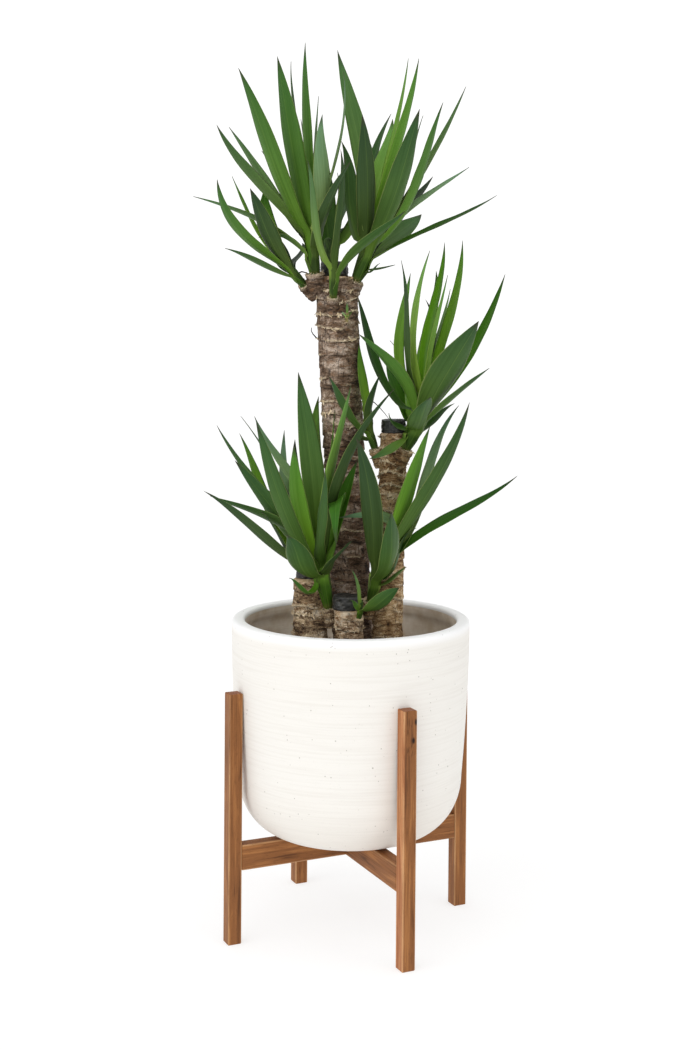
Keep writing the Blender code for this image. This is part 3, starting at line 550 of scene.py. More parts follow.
class Surface:
    """Gathers shells of points and faces, with what each point carries, into one mesh."""

    def __init__(self) -> None:
        """Starts with nothing."""
        self.points: list[np.ndarray] = []
        self.faces: list[tuple[int, ...]] = []
        self.finishes: list[int] = []
        self.carried: dict[str, list[tuple[int, np.ndarray]]] = {}
        self.count = 0

    def add(self, points: np.ndarray | Sequence, faces: Sequence[tuple[int, ...]],
            finish: int | Sequence[int] = 0, **values: np.ndarray | Sequence) -> None:
        """Adds one shell.

        Args:
            points: rows of x, y and z.
            faces: point numbers within the shell.
            finish: the number of its material, or a number for each face.
            values: what each point carries, a number, a place on the UV map or a colour; 0 where a shell
                isn't given it.
        """
        self.points.append(np.asarray(points, float).reshape(-1, 3))
        self.faces.extend(tuple(index + self.count for index in face) for face in faces)
        self.finishes.extend([finish] * len(faces) if isinstance(finish, int) else finish)
        for name, numbers in values.items():
            self.carried.setdefault(name, []).append((self.count, np.asarray(numbers, float)))
        self.count += len(self.points[-1])

    def make(self, name: str, materials: Sequence[bpy.types.Material]) -> bpy.types.Object:
        """Makes the object.

        Args:
            name: the piece's name.
            materials: its finishes, in the order of their numbers.

        Returns:
            The object, at the origin, shaded smooth, its faces pointing out.
        """
        mesh = plain_mesh(name, np.concatenate(self.points).tolist(), self.faces)
        for material in materials:
            mesh.materials.append(material)
        mesh.polygons.foreach_set("material_index", self.finishes)
        for label, parts in self.carried.items():
            values = np.zeros((self.count, *parts[0][1].shape[1:]))
            for start, numbers in parts:
                values[start:start + len(numbers)] = numbers
            if label == "uv":
                corners = np.zeros(len(mesh.loops), int)
                mesh.loops.foreach_get("vertex_index", corners)
                mesh.uv_layers.new(name="UVMap").data.foreach_set("uv", values[corners].ravel())
            elif values.ndim == 2:
                layer = mesh.attributes.new(label, "FLOAT_COLOR", "POINT")
                layer.data.foreach_set("color", values.ravel())
            else:
                mesh.attributes.new(label, "FLOAT", "POINT").data.foreach_set("value", values)
        shell = bmesh.new()
        shell.from_mesh(mesh)
        bmesh.ops.recalc_face_normals(shell, faces=shell.faces)
        finish_shell(shell, mesh).shade_smooth()
        return put(name, mesh)


def settle(made: bpy.types.Object, slot: str, *nodes: str) -> bpy.types.Object:
    """Seats a finished piece: it rides on the body and stands for its nodes, which it hides.

    Args:
        made: the piece.
        slot: the record's material slot; not used.
        nodes: the nodes that it stands for.

    Returns:
        The same piece.
    """
    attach(made, BODY)
    if nodes:
        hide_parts(*nodes)
    LOG.info("%s: %d faces", made.name, len(made.data.polygons))
    return made


def level_loops(centres: np.ndarray | Sequence, radii: np.ndarray, turns: np.ndarray) -> np.ndarray:
    """Loops of points round centres, all level, as rows of loops."""
    ring = np.stack([np.cos(turns), np.sin(turns), np.zeros_like(turns)], -1)
    return np.asarray(centres)[:, None, :] + ring[None] * radii[..., None]


def directions(count: int) -> np.ndarray:
    """Directions evenly spaced round the upright axis."""
    return np.linspace(0, math.tau, count, endpoint=False)


def spoke(turn: float, radius: float = 1.0, height: float = 0.0) -> Vector:
    """A point at a direction, a distance and a height from the upright axis."""
    return Vector((math.cos(turn) * radius, math.sin(turn) * radius, height))


def fold_depth(half: float, s: float) -> float:
    """How deep a blade of half this width is folded at a place along it."""
    return BLADE_FOLD * 2 * half * (1 - 0.4 * s)


def pot_side(z: float) -> float:
    """Finds the pot's outer radius on its side, above the round corner.

    Args:
        z: the height.

    Returns:
        The radius, in metres.
    """
    corner = POT_BASE + CORNER_HEIGHT
    share = (POT_TOP - 6 * MM - z) / (POT_TOP - 6 * MM - corner)
    return POT_RADIUS - POT_TAPER * share - POT_FLARE * share * share


def soil_height(x: float, y: float) -> float:
    """Finds the soil's surface: a low mound with shallow hollows.

    Args:
        x: the place to the right.
        y: the place to the back.

    Returns:
        Its height, in metres.
    """
    radius = math.hypot(x, y)
    mound = SOIL_MOUND * math.cos(min(radius / POT_RADIUS, 1) * math.pi / 2)
    waves = math.sin(x / (17 * MM) + 1.3) * math.cos(y / (14 * MM)) + math.sin((x + y) / (31 * MM))
    return SOIL_TOP + mound + SOIL_ROUGH * waves


@dataclass(frozen=True)
class WoodFinish:
    """Oiled acacia, planed and rounded at its edges: warm brown, streaked along the grain, with open pores,
    and a painted highlight along its rounded edges.

    The growth lines are drawn 2 to 8 mm apart, as flat-sawn acacia has them; the pores are drawn twice as
    wide as the real 0.2 mm, so that they show.
    """

    name: str
    centre: Triple
    turn: float
    upright: bool
    half: Pair
    shift: float
    sapwood: float = 0.0
    knots: Rows = ()
    pale: str = "#a8703f"
    middle: str = "#8b5931"
    dark: str = "#5f3a1f"
    # A knot: how it is squeezed along the grain, how far off and how much it bends the grain, and where its
    # dark heart ends; then the band along the rounded edges that is painted lighter, a painted highlight
    knot_low: float = 0.55
    knot_reach: float = 12 * MM
    knot_pull: float = 4 * MM
    knot_edge: Pair = (1.2 * MM, 2.8 * MM)
    edge_highlight: Pair = (0.4 * MM, 2.2 * MM)

    def build(self) -> bpy.types.Material:
        """Makes the material in the piece's own directions, so that the grain runs along it.

        Returns:
            The material.
        """
        material, add, shader = start_material(self.name)
        local = add(MAPPING, {"Vector": add(PLACE, out="Object"), "Location": self.centre,
                              "Rotation": (0, 0, self.turn)}, vector_type="TEXTURE")
        axes = add(SPLIT, {"Vector": local}).node.outputs
        bent, spots = local, []
        for x, y, z in self.knots:
            away = add(VECTOR, {0: add(MAPPING, {"Vector": local, "Scale": (1, 1, self.knot_low)}),
                                1: (x, y, z * self.knot_low)}, out="Value", operation="DISTANCE")
            pull = add(RANGE, (away, self.knot_reach, 0.0, 0, self.knot_pull))
            bent = add(VECTOR, {0: bent, 1: add(JOIN, {"X": pull, "Y": pull})}, operation="ADD")
            spots.append(add(RANGE, (away, self.knot_edge[1], self.knot_edge[0])))
        moved = add(MAPPING, {"Vector": bent, "Location": (self.shift, self.shift * 0.37, self.shift * 0.61)})
        # Broad bands 8 mm, growth lines 1.6 mm and pores 0.4 mm across the grain, which runs along the first
        sizes = [(9, 120, 120), (16, 620, 620), (170, 2400, 2400)]
        if self.upright:
            sizes = [(b, c, a) for a, b, c in sizes]
        broad, lines, pores = (
            add(NOISE, {"Vector": add(MAPPING, {"Vector": moved, "Scale": size}), "Scale": 1,
                        "Detail": detail, "Roughness": 0.55, "Distortion": distort})
            for size, detail, distort in zip(sizes, (3, 4, 1), (0.7, 0.25, 0.0)))
        mottle = add(MIX, {0: 0.42, 6: broad, 7: lines}, **RGBA)
        pitted = add(RANGE, (pores, 0.64, 0.74, 0, 0.6))
        # The band along each edge is painted lighter, a painted highlight where the rounded edges catch the
        # light
        painted_edge_light_and_margin = add(RANGE, (broad, 0.35, 0.6, 0.15, 0.75))
        for axis, half in zip("XY" if self.upright else "YZ", self.half):
            out = add(MATH, (axes[axis],), operation="ABSOLUTE")
            out = add(RANGE, (out, half - self.edge_highlight[1], half - self.edge_highlight[0]))
            painted_edge_light_and_margin = add(MATH, (painted_edge_light_and_margin, out), operation="MULTIPLY")
        coats = [(painted_edge_light_and_margin, "#d3a678"), (pitted, "#3c2412")]
        if self.sapwood:
            side = add(RANGE, (axes["Y"], self.half[1] - 3 * MM, self.half[1]))
            side = add(MATH, (side, self.sapwood), operation="MULTIPLY")
            coats.insert(0, (side, add(RAMP, {"Fac": mottle}, stops=((0.4, "#a36239"), (0.6, "#cc9060")))))
        if self.upright:
            end = add(RANGE, (axes["Z"], LEG_HEIGHT - 0.5 * MM, LEG_HEIGHT - 0.1 * MM, 0, 0.75))
            coats.append((end, add(RAMP, {"Fac": pores}, stops=((0.4, "#5d2f1b"), (0.6, "#a0653f")))))
        coats += [(spot, "#2a1609") for spot in spots]
        colour = add(RAMP, {"Fac": mottle}, stops=((0.36, self.dark), (0.45, self.middle),
                                                   (0.52, self.middle), (0.61, self.pale)))
        for share, coat in coats:
            colour = add(MIX, {0: share, 6: colour, 7: coat}, **RGBA)
        rough = add(RANGE, (lines, 0.35, 0.65, 0.6, 0.48))
        relief = add(MATH, (lines, pitted), operation="SUBTRACT")
        feed(add, shader, colour, rough, relief, 0.15 * MM, 0.5, 0.22)
        return material


@dataclass(frozen=True)
class PotFinish:
    """Matt stoneware glaze, thrown on a wheel: warm white over fine rings, with sparse pinholes and specks.

    The rings are 3 to 4 mm apart, as a potter's fingers leave them. The pinholes are drawn 2 and 2.7 mm wide,
    about twice the real ones, so that they show.
    """

    body: str = "#f2efe9"
    # The glaze is painted this darker colour toward the foot, a painted shade
    low: str = "#ece7df"
    # How far down the rim is whiter, and the pinholes: cells in each metre, how rare they are, and their
    # radius as a share of a cell
    whiter_lip: Pair = (3 * MM, 14 * MM)
    pinholes: Rows = ((135, 0.64, 0.13), (60, 0.7, 0.08))

    def build(self) -> bpy.types.Material:
        """Makes the material; the mesh carries how far each point is inside and how low it is.

        Returns:
            The material.
        """
        material, add, shader = start_material("Matt white stoneware")
        place = add(PLACE, out="Object")
        inside, low = (add(CARRIED, out="Fac", attribute_name=name) for name in ("inside", "low"))
        rings, waves, sand = (
            add(NOISE, {"Vector": add(MAPPING, {"Vector": place, "Scale": size}), "Scale": 1,
                        "Detail": detail, "Distortion": 0.15})
            for size, detail in (((9, 9, 330), 4), ((4, 4, 120), 2), ((700, 700, 700), 3)))
        # Where the rings' grooves lie the glaze is painted grey, a painted shade in them
        ring_shade = add(RANGE, (rings, 0.55, 0.32, 0, 0.3))
        grit = add(RANGE, (sand, 0.62, 0.75, 0, 0.22))
        height = add(SPLIT, {"Vector": place}, out="Z")
        # The rim is painted whiter toward its top
        lip = add(RANGE, (height, POT_TOP - self.whiter_lip[1], POT_TOP - self.whiter_lip[0]))
        patchy = add(NOISE, {"Vector": place, "Scale": 14, "Detail": 1})
        dots = []
        for cells_each_metre, chosen, radius in self.pinholes:
            cells = add(CELLS, {"Vector": place, "Scale": cells_each_metre}).node.outputs
            rare = add(MATH, (cells["Color"], patchy), operation="ADD")
            rare = add(MATH, (rare, chosen + 0.5), operation="GREATER_THAN")
            near = add(RANGE, (cells["Distance"], radius, radius * 0.4))
            dots.append(add(MATH, (rare, near), operation="MULTIPLY"))
        pits = add(MATH, dots, operation="MAXIMUM")
        stained = add(MATH, (pits, 0.62), operation="MULTIPLY")
        cloud = add(NOISE, {"Vector": place, "Scale": 40, "Detail": 4})
        clay = add(RAMP, {"Fac": cloud}, stops=((0.35, "#dccab2"), (0.65, "#f6ebdb")))
        # Over the body: painted shade toward the foot and in the rings' grooves, then grit, a whiter rim,
        # pinholes and the inside
        colour = self.body
        for share, coat in ((low, self.low), (ring_shade, "#e2ddd5"), (grit, "#c9c2b8"), (lip, "#ffffff"),
                            (stained, "#74695c"), (inside, clay)):
            colour = add(MIX, {0: share, 6: colour, 7: coat}, **RGBA)
        relief = add(MATH, (add(MATH, (rings, waves), operation="ADD"), pits), operation="SUBTRACT")
        rough = add(RANGE, (cloud, 0.3, 0.7, 0.5, 0.6))
        feed(add, shader, colour, rough, relief, 0.45 * MM, 0.55, 0.4)
        return material


@dataclass(frozen=True)
class LumpFinish:
    """A dull crumbly matter, such as potting soil, bark chips or perlite: mottled lumps 2 to 8 mm wide."""

    name: str
    scale: float
    stops: tuple[tuple[float, str], ...]
    depth: float
    rough: float = 0.92

    def build(self) -> bpy.types.Material:
        """Makes the material.

        Returns:
            The material.
        """
        material, add, shader = start_material(self.name)
        lumps = add(NOISE, {"Vector": add(PLACE, out="Object"), "Scale": self.scale, "Detail": 5,
                            "Roughness": 0.65})
        rough = add(RANGE, (lumps, 0, 1, self.rough - 0.1, self.rough + 0.05))
        feed(add, shader, add(RAMP, {"Fac": lumps}, stops=self.stops), rough, lumps, self.depth, 0.8, 0.25)
        return material


@dataclass(frozen=True)
class BarkFinish:
    """Dry yucca bark: corky grey-brown plates, splits and ring grooves painted dark as shade, straw-coloured
    torn leaf scars, bare pale wood.

    The plates are about 30 mm wide and 12 mm high, half as large again on the tall cane, and the splits 1 mm
    wide. The fibres are drawn 1 to 2 mm wide, coarser than the real 0.5 mm, so that they show.
    """

    name: str
    pale: str
    light: str
    middle: str
    dark: str
    grain: float = 1.0

    def build(self) -> bpy.types.Material:
        """Makes the material; the mesh carries its grooves, torn lips, bare bands and green skin.

        Returns:
            The material.
        """
        material, add, shader = start_material(self.name)
        place = add(PLACE, out="Object")
        plates, patches, fibres, upright, slanted = (
            add(NOISE, {"Vector": add(MAPPING, {"Vector": place, "Scale": size}), "Scale": self.grain,
                        "Detail": detail, "Roughness": 0.62, "Distortion": distort})
            for size, detail, distort in (
                ((32, 32, 80), 3, 1.2), ((100, 100, 330), 4, 0.8), ((420, 420, 900), 3, 0.6),
                ((150, 150, 26), 2, 1.4), ((75, 75, 190), 3, 1.8)))
        splits = []
        for lines, within, low, high, most in ((upright, plates, 0.44, 0.54, 1.0),
                                               (slanted, patches, 0.42, 0.56, 0.85)):
            off = add(MATH, (add(MATH, (lines, 0.5), operation="SUBTRACT"),), operation="ABSOLUTE")
            thin = add(RANGE, (off, 0.02, 0.002))
            where = add(RANGE, (within, low, high, 0, most))
            splits.append(add(MATH, (thin, where), operation="MULTIPLY"))
        crack = add(MATH, splits, operation="MAXIMUM")
        mottle = plates
        for share, finer in ((0.4, patches), (0.22, fibres)):
            mottle = add(MIX, {0: share, 6: mottle, 7: finer}, **RGBA)
        groove, lip = (
            add(MATH, (add(CARRIED, out="Fac", attribute_name=name), add(RANGE, (value, low, high, least))),
                operation="MULTIPLY")
            for name, value, low, high, least in (("groove", patches, 0.3, 0.58, 0.35),
                                                  ("lip", fibres, 0.38, 0.5, 0.25)))
        bare, green = (add(CARRIED, out="Fac", attribute_name=name) for name in ("bare", "green"))
        straw, wood, skin = (add(RAMP, {"Fac": value}, stops=stops) for value, stops in (
            (fibres, ((0.36, "#b8996f"), (0.6, "#ecdcc0"))),
            (mottle, ((0.42, "#7d5c3d"), (0.48, "#cfae88"), (0.58, "#f0dec4"))),
            (patches, ((0.35, "#4f5a22"), (0.62, "#8f8a3c")))))
        rust = add(RANGE, (slanted, 0.56, 0.66, 0, 0.6))
        stain = add(NOISE, {"Vector": place, "Scale": 26, "Detail": 3, "Distortion": 0.8})
        stain = add(RANGE, (stain, 0.47, 0.6, 0, 0.8))
        colour = add(RAMP, {"Fac": mottle}, stops=((0.415, self.dark), (0.465, self.middle),
                                                   (0.525, self.light), (0.585, self.pale)))
        colour = add(MIX, {0: stain, 6: colour, 7: (0.5, 0.42, 0.34, 1)}, **RGBA, blend_type="MULTIPLY")
        # Splits and the grooves under the ring steps get near-black brown, a painted shade where shade falls
        # in them; rust, straw lips, bare wood and green skin are the bark's own colours
        for share, coat in ((rust, "#7d5a3c"), (crack, "#231a13"), (groove, "#241a13"), (lip, straw),
                            (bare, wood), (green, skin)):
            colour = add(MIX, {0: share, 6: colour, 7: coat}, **RGBA)
        relief = add(MATH, (add(MATH, (patches, fibres), operation="ADD"), crack), operation="SUBTRACT")
        rough = add(RANGE, (fibres, 0, 1, 0.8, 0.95))
        feed(add, shader, colour, rough, relief, 1.1 * MM, 0.9, 0.25)
        return material


@dataclass(frozen=True)
class WaxFinish:
    """Black sealing wax, brushed on thick: wrinkled, with a dull sheen on its folds."""

    def build(self) -> bpy.types.Material:
        """Makes the material.

        Returns:
            The material.
        """
        material, add, shader = start_material("Black sealing wax")
        creases = add(NOISE, {"Vector": add(PLACE, out="Object"), "Scale": 240, "Detail": 4,
                              "Distortion": 0.6})
        colour = add(RAMP, {"Fac": creases}, stops=((0.38, "#131312"), (0.55, "#2a2a27"), (0.7, "#484741")))
        rough = add(RANGE, (creases, 0.4, 0.6, 0.5, 0.36))
        feed(add, shader, colour, rough, creases, 0.8 * MM, 0.7, 0.5)
        return material


@dataclass(frozen=True)
class LeafFinish:
    """A yucca leaf's waxy skin: smooth, softly glossy, veined along, thinly pale at its edge, dry at its tip.

    The veins are drawn 1 to 2 mm apart, about twice as far as on the real leaf, so that they show.
    """

    name: str
    frosted: float
    rib: float
    gloss: float

    def build(self) -> bpy.types.Material:
        """Makes the material; the mesh carries each leaf's colour and each point's place on its leaf.

        Returns:
            The material.
        """
        material, add, shader = start_material(self.name)
        place = add(LEAF_PLACE, uv_map="UVMap")
        across = add(MATH, (add(CARRIED, out="Fac", attribute_name="across"),), operation="ABSOLUTE")
        along, sheath = (add(CARRIED, out="Fac", attribute_name=name) for name in ("along", "sheath"))
        veins, bands, cloud = (
            add(NOISE, {"Vector": add(MAPPING, {"Vector": place, "Scale": size}), "Scale": 1, "Detail": 2})
            for size in ((1100, 7, 1), (230, 4, 1), (40, 14, 1)))
        colour = add(CARRIED, out="Color", attribute_name="tint")
        colour = add(MIX, {0: self.frosted, 6: colour, 7: "#86a06c"}, **RGBA)
        # The sheath row multiplies the leaf bases darker, painted shade where they crowd round the stem; the
        # other rows vary the leaf's own green
        for value, low, high, most, shade in ((bands, 0.35, 0.65, 0.5, (0.66, 0.7, 0.62, 1)),
                                              (veins, 0.42, 0.6, 0.4, (0.58, 0.64, 0.5, 1)),
                                              (cloud, 0.45, 0.75, 0.5, (1.4, 1.3, 1.1, 1)),
                                              (along, 0.5, 0.05, 0.95, (1.4, 1.24, 0.66, 1)),
                                              (sheath, 0.0, 0.25, 0.95, (0.44, 0.52, 0.5, 1)),
                                              (along, 0.5, 0.95, 0.95, (0.52, 0.68, 0.92, 1))):
            part = add(RANGE, (value, low, high, 0, most))
            colour = add(MIX, {0: part, 6: colour, 7: shade}, **RGBA, blend_type="MULTIPLY")
        # Near each sheath's edge the mask gives a dark band, painted shade in the seams between the sheaths,
        # then a pale margin right at the edge
        painted_edge_light_and_margin = add(MATH, (across, add(MATH, (sheath, 0.6), operation="POWER")), operation="MULTIPLY")
        for value, low, high, most, shade in ((across, 0.06, 0.0, self.rib, "#86a350"),
                                              (painted_edge_light_and_margin, 0.45, 0.8, 0.8, "#1e3010"),
                                              (painted_edge_light_and_margin, 0.84, 0.93, 0.8, "#8f9a5c"),
                                              (across, 0.93, 0.98, 0.6, "#a3b368"),
                                              (sheath, 0.75, 1.0, 0.7, "#6d6a34"),
                                              (along, 0.9, 0.985, 0.85, "#3d382c")):
            part = add(RANGE, (value, low, high, 0, most))
            colour = add(MIX, {0: part, 6: colour, 7: shade}, **RGBA)
        rough = add(RANGE, (bands, 0.35, 0.65, self.gloss, self.gloss + 0.1))
        feed(add, shader, colour, rough, veins, 0.1 * MM, 0.3, 0.12)
        return material


@dataclass(frozen=True)
class StemFinish:
    """The young stem under a shoot's leaves: green skin, straw-coloured where old sheaths tore off."""

    def build(self) -> bpy.types.Material:
        """Makes the material.

        Returns:
            The material.
        """
        material, add, shader = start_material("Young stem")
        along = add(MAPPING, {"Vector": add(PLACE, out="Object"), "Scale": (420, 420, 60)})
        streaks = add(NOISE, {"Vector": along, "Scale": 1, "Detail": 3})
        skin, straw = (add(RAMP, {"Fac": streaks}, stops=stops) for stops in (
            ((0.38, "#24390f"), (0.6, "#425f22")), ((0.36, "#7d6a40"), (0.62, "#c4b27e"))))
        colour = add(MIX, {0: add(CARRIED, out="Fac", attribute_name="dry"), 6: skin, 7: straw}, **RGBA)
        rough = add(RANGE, (streaks, 0, 1, 0.5, 0.7))
        feed(add, shader, colour, rough, streaks, 0.4 * MM, 0.5, 0.3)
        return material


@dataclass
class Stand:
    """The crossed wooden stand: four square legs, two half-lapped bars and the dowels in their joints."""

    nodes: dict[str, bpy.types.Object]
    turn: float = math.radians(25.4)
    leg_reach: float = 167.8 * MM
    leg_side: float = 18.5 * MM
    bar_height: float = 33 * MM
    # The front leg alone has a strip of sapwood, this strong, and two knots
    sapwood: float = 0.85
    knots: Rows = ((-leg_side / 2, -4.1 * MM, 290.7 * MM), (-leg_side / 2, -7.6 * MM, 313.7 * MM))

    def dress(self) -> None:
        """Gives each kept solid its wood, the grain along it."""
        for number, name in enumerate(("leg_left", "leg_front", "leg_right", "leg_back")):
            toward = self.turn + math.radians(180 + 90 * number)
            centre = (self.leg_reach * math.cos(toward), self.leg_reach * math.sin(toward), 0)
            marks = (self.sapwood, self.knots) if name == "leg_front" else ()
            self.lay(name, WoodFinish(f"Oiled acacia, {name}", centre, self.turn + math.radians(90), True,
                                      (self.leg_side / 2, self.leg_side / 2), 0.7 * number, *marks))
        for number, name in enumerate(("bar_left_right", "bar_front_back")):
            self.lay(name, WoodFinish(f"Oiled acacia, {name}", (0, 0, BAR_TOP - self.bar_height / 2),
                                      self.turn + math.radians(90 * number), False,
                                      (self.leg_side / 2, self.bar_height / 2), 3.1 + number))
        for name in self.nodes:
            if name.startswith("dowel_"):
                self.lay(name, WoodFinish("Beech dowel", (0, 0, 0), self.turn, False, (1, 1), 9.0, 0.0, (),
                                          "#d8b98e", "#c6a274", "#a9824f"))

    def lay(self, name: str, wood: WoodFinish) -> None:
        """Gives one solid its wood.

        Args:
            name: the solid's node.
            wood: its finish.
        """
        materials = self.nodes[name].data.materials
        materials.clear()
        materials.append(bpy.data.materials.get(wood.name) or wood.build())
        LOG.info("%s: dressed", name)


@dataclass
class Pot:
    """The thrown pot: a lathe-turned wall with a rounded lip."""

    segments: int = 176
    corner_width: float = 65 * MM
    rim_depth: float = 22 * MM
    # How far up from its foot the glaze is painted darker, a painted shade
    shaded_foot: float = 100 * MM
    # The rounded lip and the throat under it, as radius and height in millimetres
    lip: Rows = (
        (159.8, 409.4), (159.6, 410.9), (159.1, 412.3), (158.0, 413.5), (156.2, 414.5), (153.6, 415.0),
        (150.6, 415.0), (147.6, 415.0), (145.3, 414.7), (143.7, 413.8), (142.8, 412.4), (142.5, 410.8),
        (142.5, 409.9))
    throat: Rows = ((142.5, 408.9), (142.8, 402.8), (144.2, 396.5))

    def profile(self) -> list[Triple]:
        """The half section from the foot's centre, up, over the lip and down to the inner floor.

        Returns:
            Radius, height and how far the point is inside, 0 to 1.
        """
        corner = POT_BASE + CORNER_HEIGHT
        foot = pot_side(corner) - self.corner_width
        turns = [math.pi / 2 * step / 22 for step in range(23)]
        points = [(foot * share, POT_BASE, 0.0) for share in (0.0, 0.5, 0.9)]
        points += [(foot + self.corner_width * math.sin(a), corner - CORNER_HEIGHT * math.cos(a), 0.0)
                   for a in turns]
        outside = np.linspace(corner, POT_TOP - 8 * MM, 41)[1:]
        within = np.linspace(POT_TOP - self.rim_depth, corner, 21)
        points += [(pot_side(z), z, 0.0) for z in outside]
        points += [(r * MM, z * MM, 0.0) for r, z in self.lip]
        points += [(r * MM, z * MM, 1.0) for r, z in self.throat]
        points += [(pot_side(z) - WALL, z, 1.0) for z in within]
        inner = self.corner_width - WALL
        points += [(foot + inner * math.cos(a), corner - (CORNER_HEIGHT - FLOOR) * math.sin(a), 1.0)
                   for a in turns[2::2]]
        return points + [(foot * share, POT_BASE + FLOOR, 1.0) for share in (0.6, 0.0)]

    def build(self) -> bpy.types.Object:
        """Turns the profile into the pot.

        Returns:
            The pot.
        """
        rows = self.profile()
        turns = directions(self.segments)
        rings = rows[1:-1]
        radii = np.array([r for r, _, _ in rings])[:, None]
        points = level_loops([(0, 0, z) for _, z, _ in rings], radii, turns).reshape(-1, 3)
        inside = np.repeat([i for _, _, i in rings], self.segments)
        low = np.clip((POT_BASE + self.shaded_foot - points[:, 2]) / self.shaded_foot, 0, 1)
        faces = ring_faces(len(rings), self.segments)
        top = (len(rings) - 1) * self.segments
        under, floor = len(points), len(points) + 1
        faces += [((c + 1) % self.segments, c, under) for c in range(self.segments)]
        faces += [(top + c, top + (c + 1) % self.segments, floor) for c in range(self.segments)]
        points = np.vstack([points, [(0, 0, rows[0][1]), (0, 0, rows[-1][1])]])
        surface = Surface()
        surface.add(points, faces, inside=np.append(inside, (0, 1)), low=np.append(low, (1, 0)))
        return settle(surface.make("pot_glazed", [PotFinish().build()]), "pot_ceramic", "pot")


@dataclass
class Scatter:
    """Small pieces strewn over a surface by a Geometry Nodes tree.

    The density counts pieces on each square metre where the mask, a value that the surface carries, is full.
    Pieces stand on the surface and lean at random up to the given angles, or are turned any way without them.
    """

    name: str
    density: float
    seed: int
    smallest: float
    largest: float
    mask: str = ""
    lean: Triple | None = None

    def tree(self, material: bpy.types.Material) -> bpy.types.NodeTree:
        """Makes the tree: points on the surface, a piece on each, turned and sized at random.

        Args:
            material: the pieces' finish.

        Returns:
            The tree.
        """
        made = bpy.data.node_groups.new(self.name, "GeometryNodeTree")
        for label, kind in (("Surface", "Geometry"), ("Density", "Float"), ("Seed", "Int"),
                            ("Smallest", "Float"), ("Largest", "Float"), ("Pieces", "Collection")):
            made.interface.new_socket(label, in_out="INPUT", socket_type=f"NodeSocket{kind}")
        made.interface.new_socket("Pieces", in_out="OUTPUT", socket_type="NodeSocketGeometry")
        given = made.nodes.new("NodeGroupInput").outputs
        add = partial(add_node, made)
        density = given["Density"]
        if self.mask:
            mask = add("GeometryNodeInputNamedAttribute", {"Name": self.mask}, data_type="FLOAT")
            density = add(MATH, (density, add(MATH, (mask, 2.0), operation="POWER")), operation="MULTIPLY")
        points = add("GeometryNodeDistributePointsOnFaces", {
            "Mesh": given["Surface"], "Density": density, "Seed": given["Seed"]}).node.outputs
        spin = add(RANDOM, {0: (0, 0, 0), 1: (math.tau,) * 3, "Seed": given["Seed"]},
                   data_type="FLOAT_VECTOR")
        size = add(RANDOM, {2: given["Smallest"], 3: given["Largest"], "Seed": given["Seed"]}, out=1,
                   data_type="FLOAT")
        pieces = add("GeometryNodeCollectionInfo", {0: given["Pieces"], 1: True, 2: True})
        last = add("GeometryNodeInstanceOnPoints", {
            "Points": points["Points"], "Instance": pieces, "Pick Instance": True, "Scale": size,
            "Rotation": points["Rotation"] if self.lean else spin})
        if self.lean:
            about = add(RANDOM, {0: tuple(-a for a in self.lean), 1: self.lean, "Seed": given["Seed"]},
                        data_type="FLOAT_VECTOR")
            last = add("GeometryNodeRotateInstances", {"Instances": last, "Rotation": about,
                                                       "Local Space": True})
        dressed = add("GeometryNodeSetMaterial", {
            "Geometry": add("GeometryNodeRealizeInstances", {"Geometry": last}), "Material": material})
        out = made.nodes.new("NodeGroupOutput")
        made.links.new(dressed, out.inputs[0])
        return made

    def strew(self, surface: bpy.types.Object, shapes: Sequence[bpy.types.Mesh],
              material: bpy.types.Material) -> bpy.types.Object:
        """Strews the shapes over a surface.

        Args:
            surface: what they lie on.
            shapes: the meshes to pick from.
            material: their finish.

        Returns:
            The strewn pieces as one plain mesh.
        """
        group = bpy.data.collections.new(self.name + "_shapes")
        for shape in shapes:
            group.objects.link(bpy.data.objects.new(shape.name, shape))
        carrier = put(self.name + "_carrier", surface.data)
        modifier = carrier.modifiers.new(self.name, "NODES")
        modifier.node_group = self.tree(material)
        values = {"Density": self.density, "Seed": self.seed, "Smallest": self.smallest,
                  "Largest": self.largest, "Pieces": group}
        for socket in modifier.node_group.interface.items_tree:
            if socket.in_out == "INPUT" and socket.name in values:
                modifier[socket.identifier] = values[socket.name]
        carrier.update_tag()
        bpy.context.view_layer.update()
        graph = bpy.context.evaluated_depsgraph_get()
        mesh = bpy.data.meshes.new_from_object(carrier.evaluated_get(graph), depsgraph=graph)
        mesh.name = self.name
        for spare in (*group.objects, carrier):
            bpy.data.objects.remove(spare)
        bpy.data.collections.remove(group)
        return put(self.name, mesh)


def crumb(name: str, seed: int, stretch: Triple) -> bpy.types.Mesh:
    """A lumpy crumb about one unit across.

    Args:
        name: the mesh's name.
        seed: picks its lumps.
        stretch: its size along each axis.

    Returns:
        The mesh.
    """
    shell = bmesh.new()
    bmesh.ops.create_icosphere(shell, subdivisions=1, radius=0.5)
    for vertex in shell.verts:
        lump = 1 + 0.45 * noise.noise(vertex.co * 2.3 + Vector((seed, seed, 0)))
        vertex.co = Vector(a * b for a, b in zip(vertex.co * lump, stretch))
    return finish_shell(shell, bpy.data.meshes.new(name))


def curl(name: str, width: float, rise: float) -> bpy.types.Mesh:
    """A thin torn flake of bark one unit long, its far end curled up off the cane.

    Args:
        name: the mesh's name.
        width: how wide it is.
        rise: how far its end stands off.

    Returns:
        The mesh.
    """
    points, steps = [], 5
    for step in range(steps):
        share = step / (steps - 1)
        half = width / 2 * (1 - 0.7 * share ** 2) * (0.8 + 0.2 * math.cos(7 * share))
        for side, low in ((-half, 0.0), (half, 0.0), (half * 0.9, -0.04), (-half * 0.9, -0.04)):
            points.append((share - 0.5, side, 0.03 + low + rise * share ** 2.2))
    return plain_mesh(name, points, capped(steps, 4))


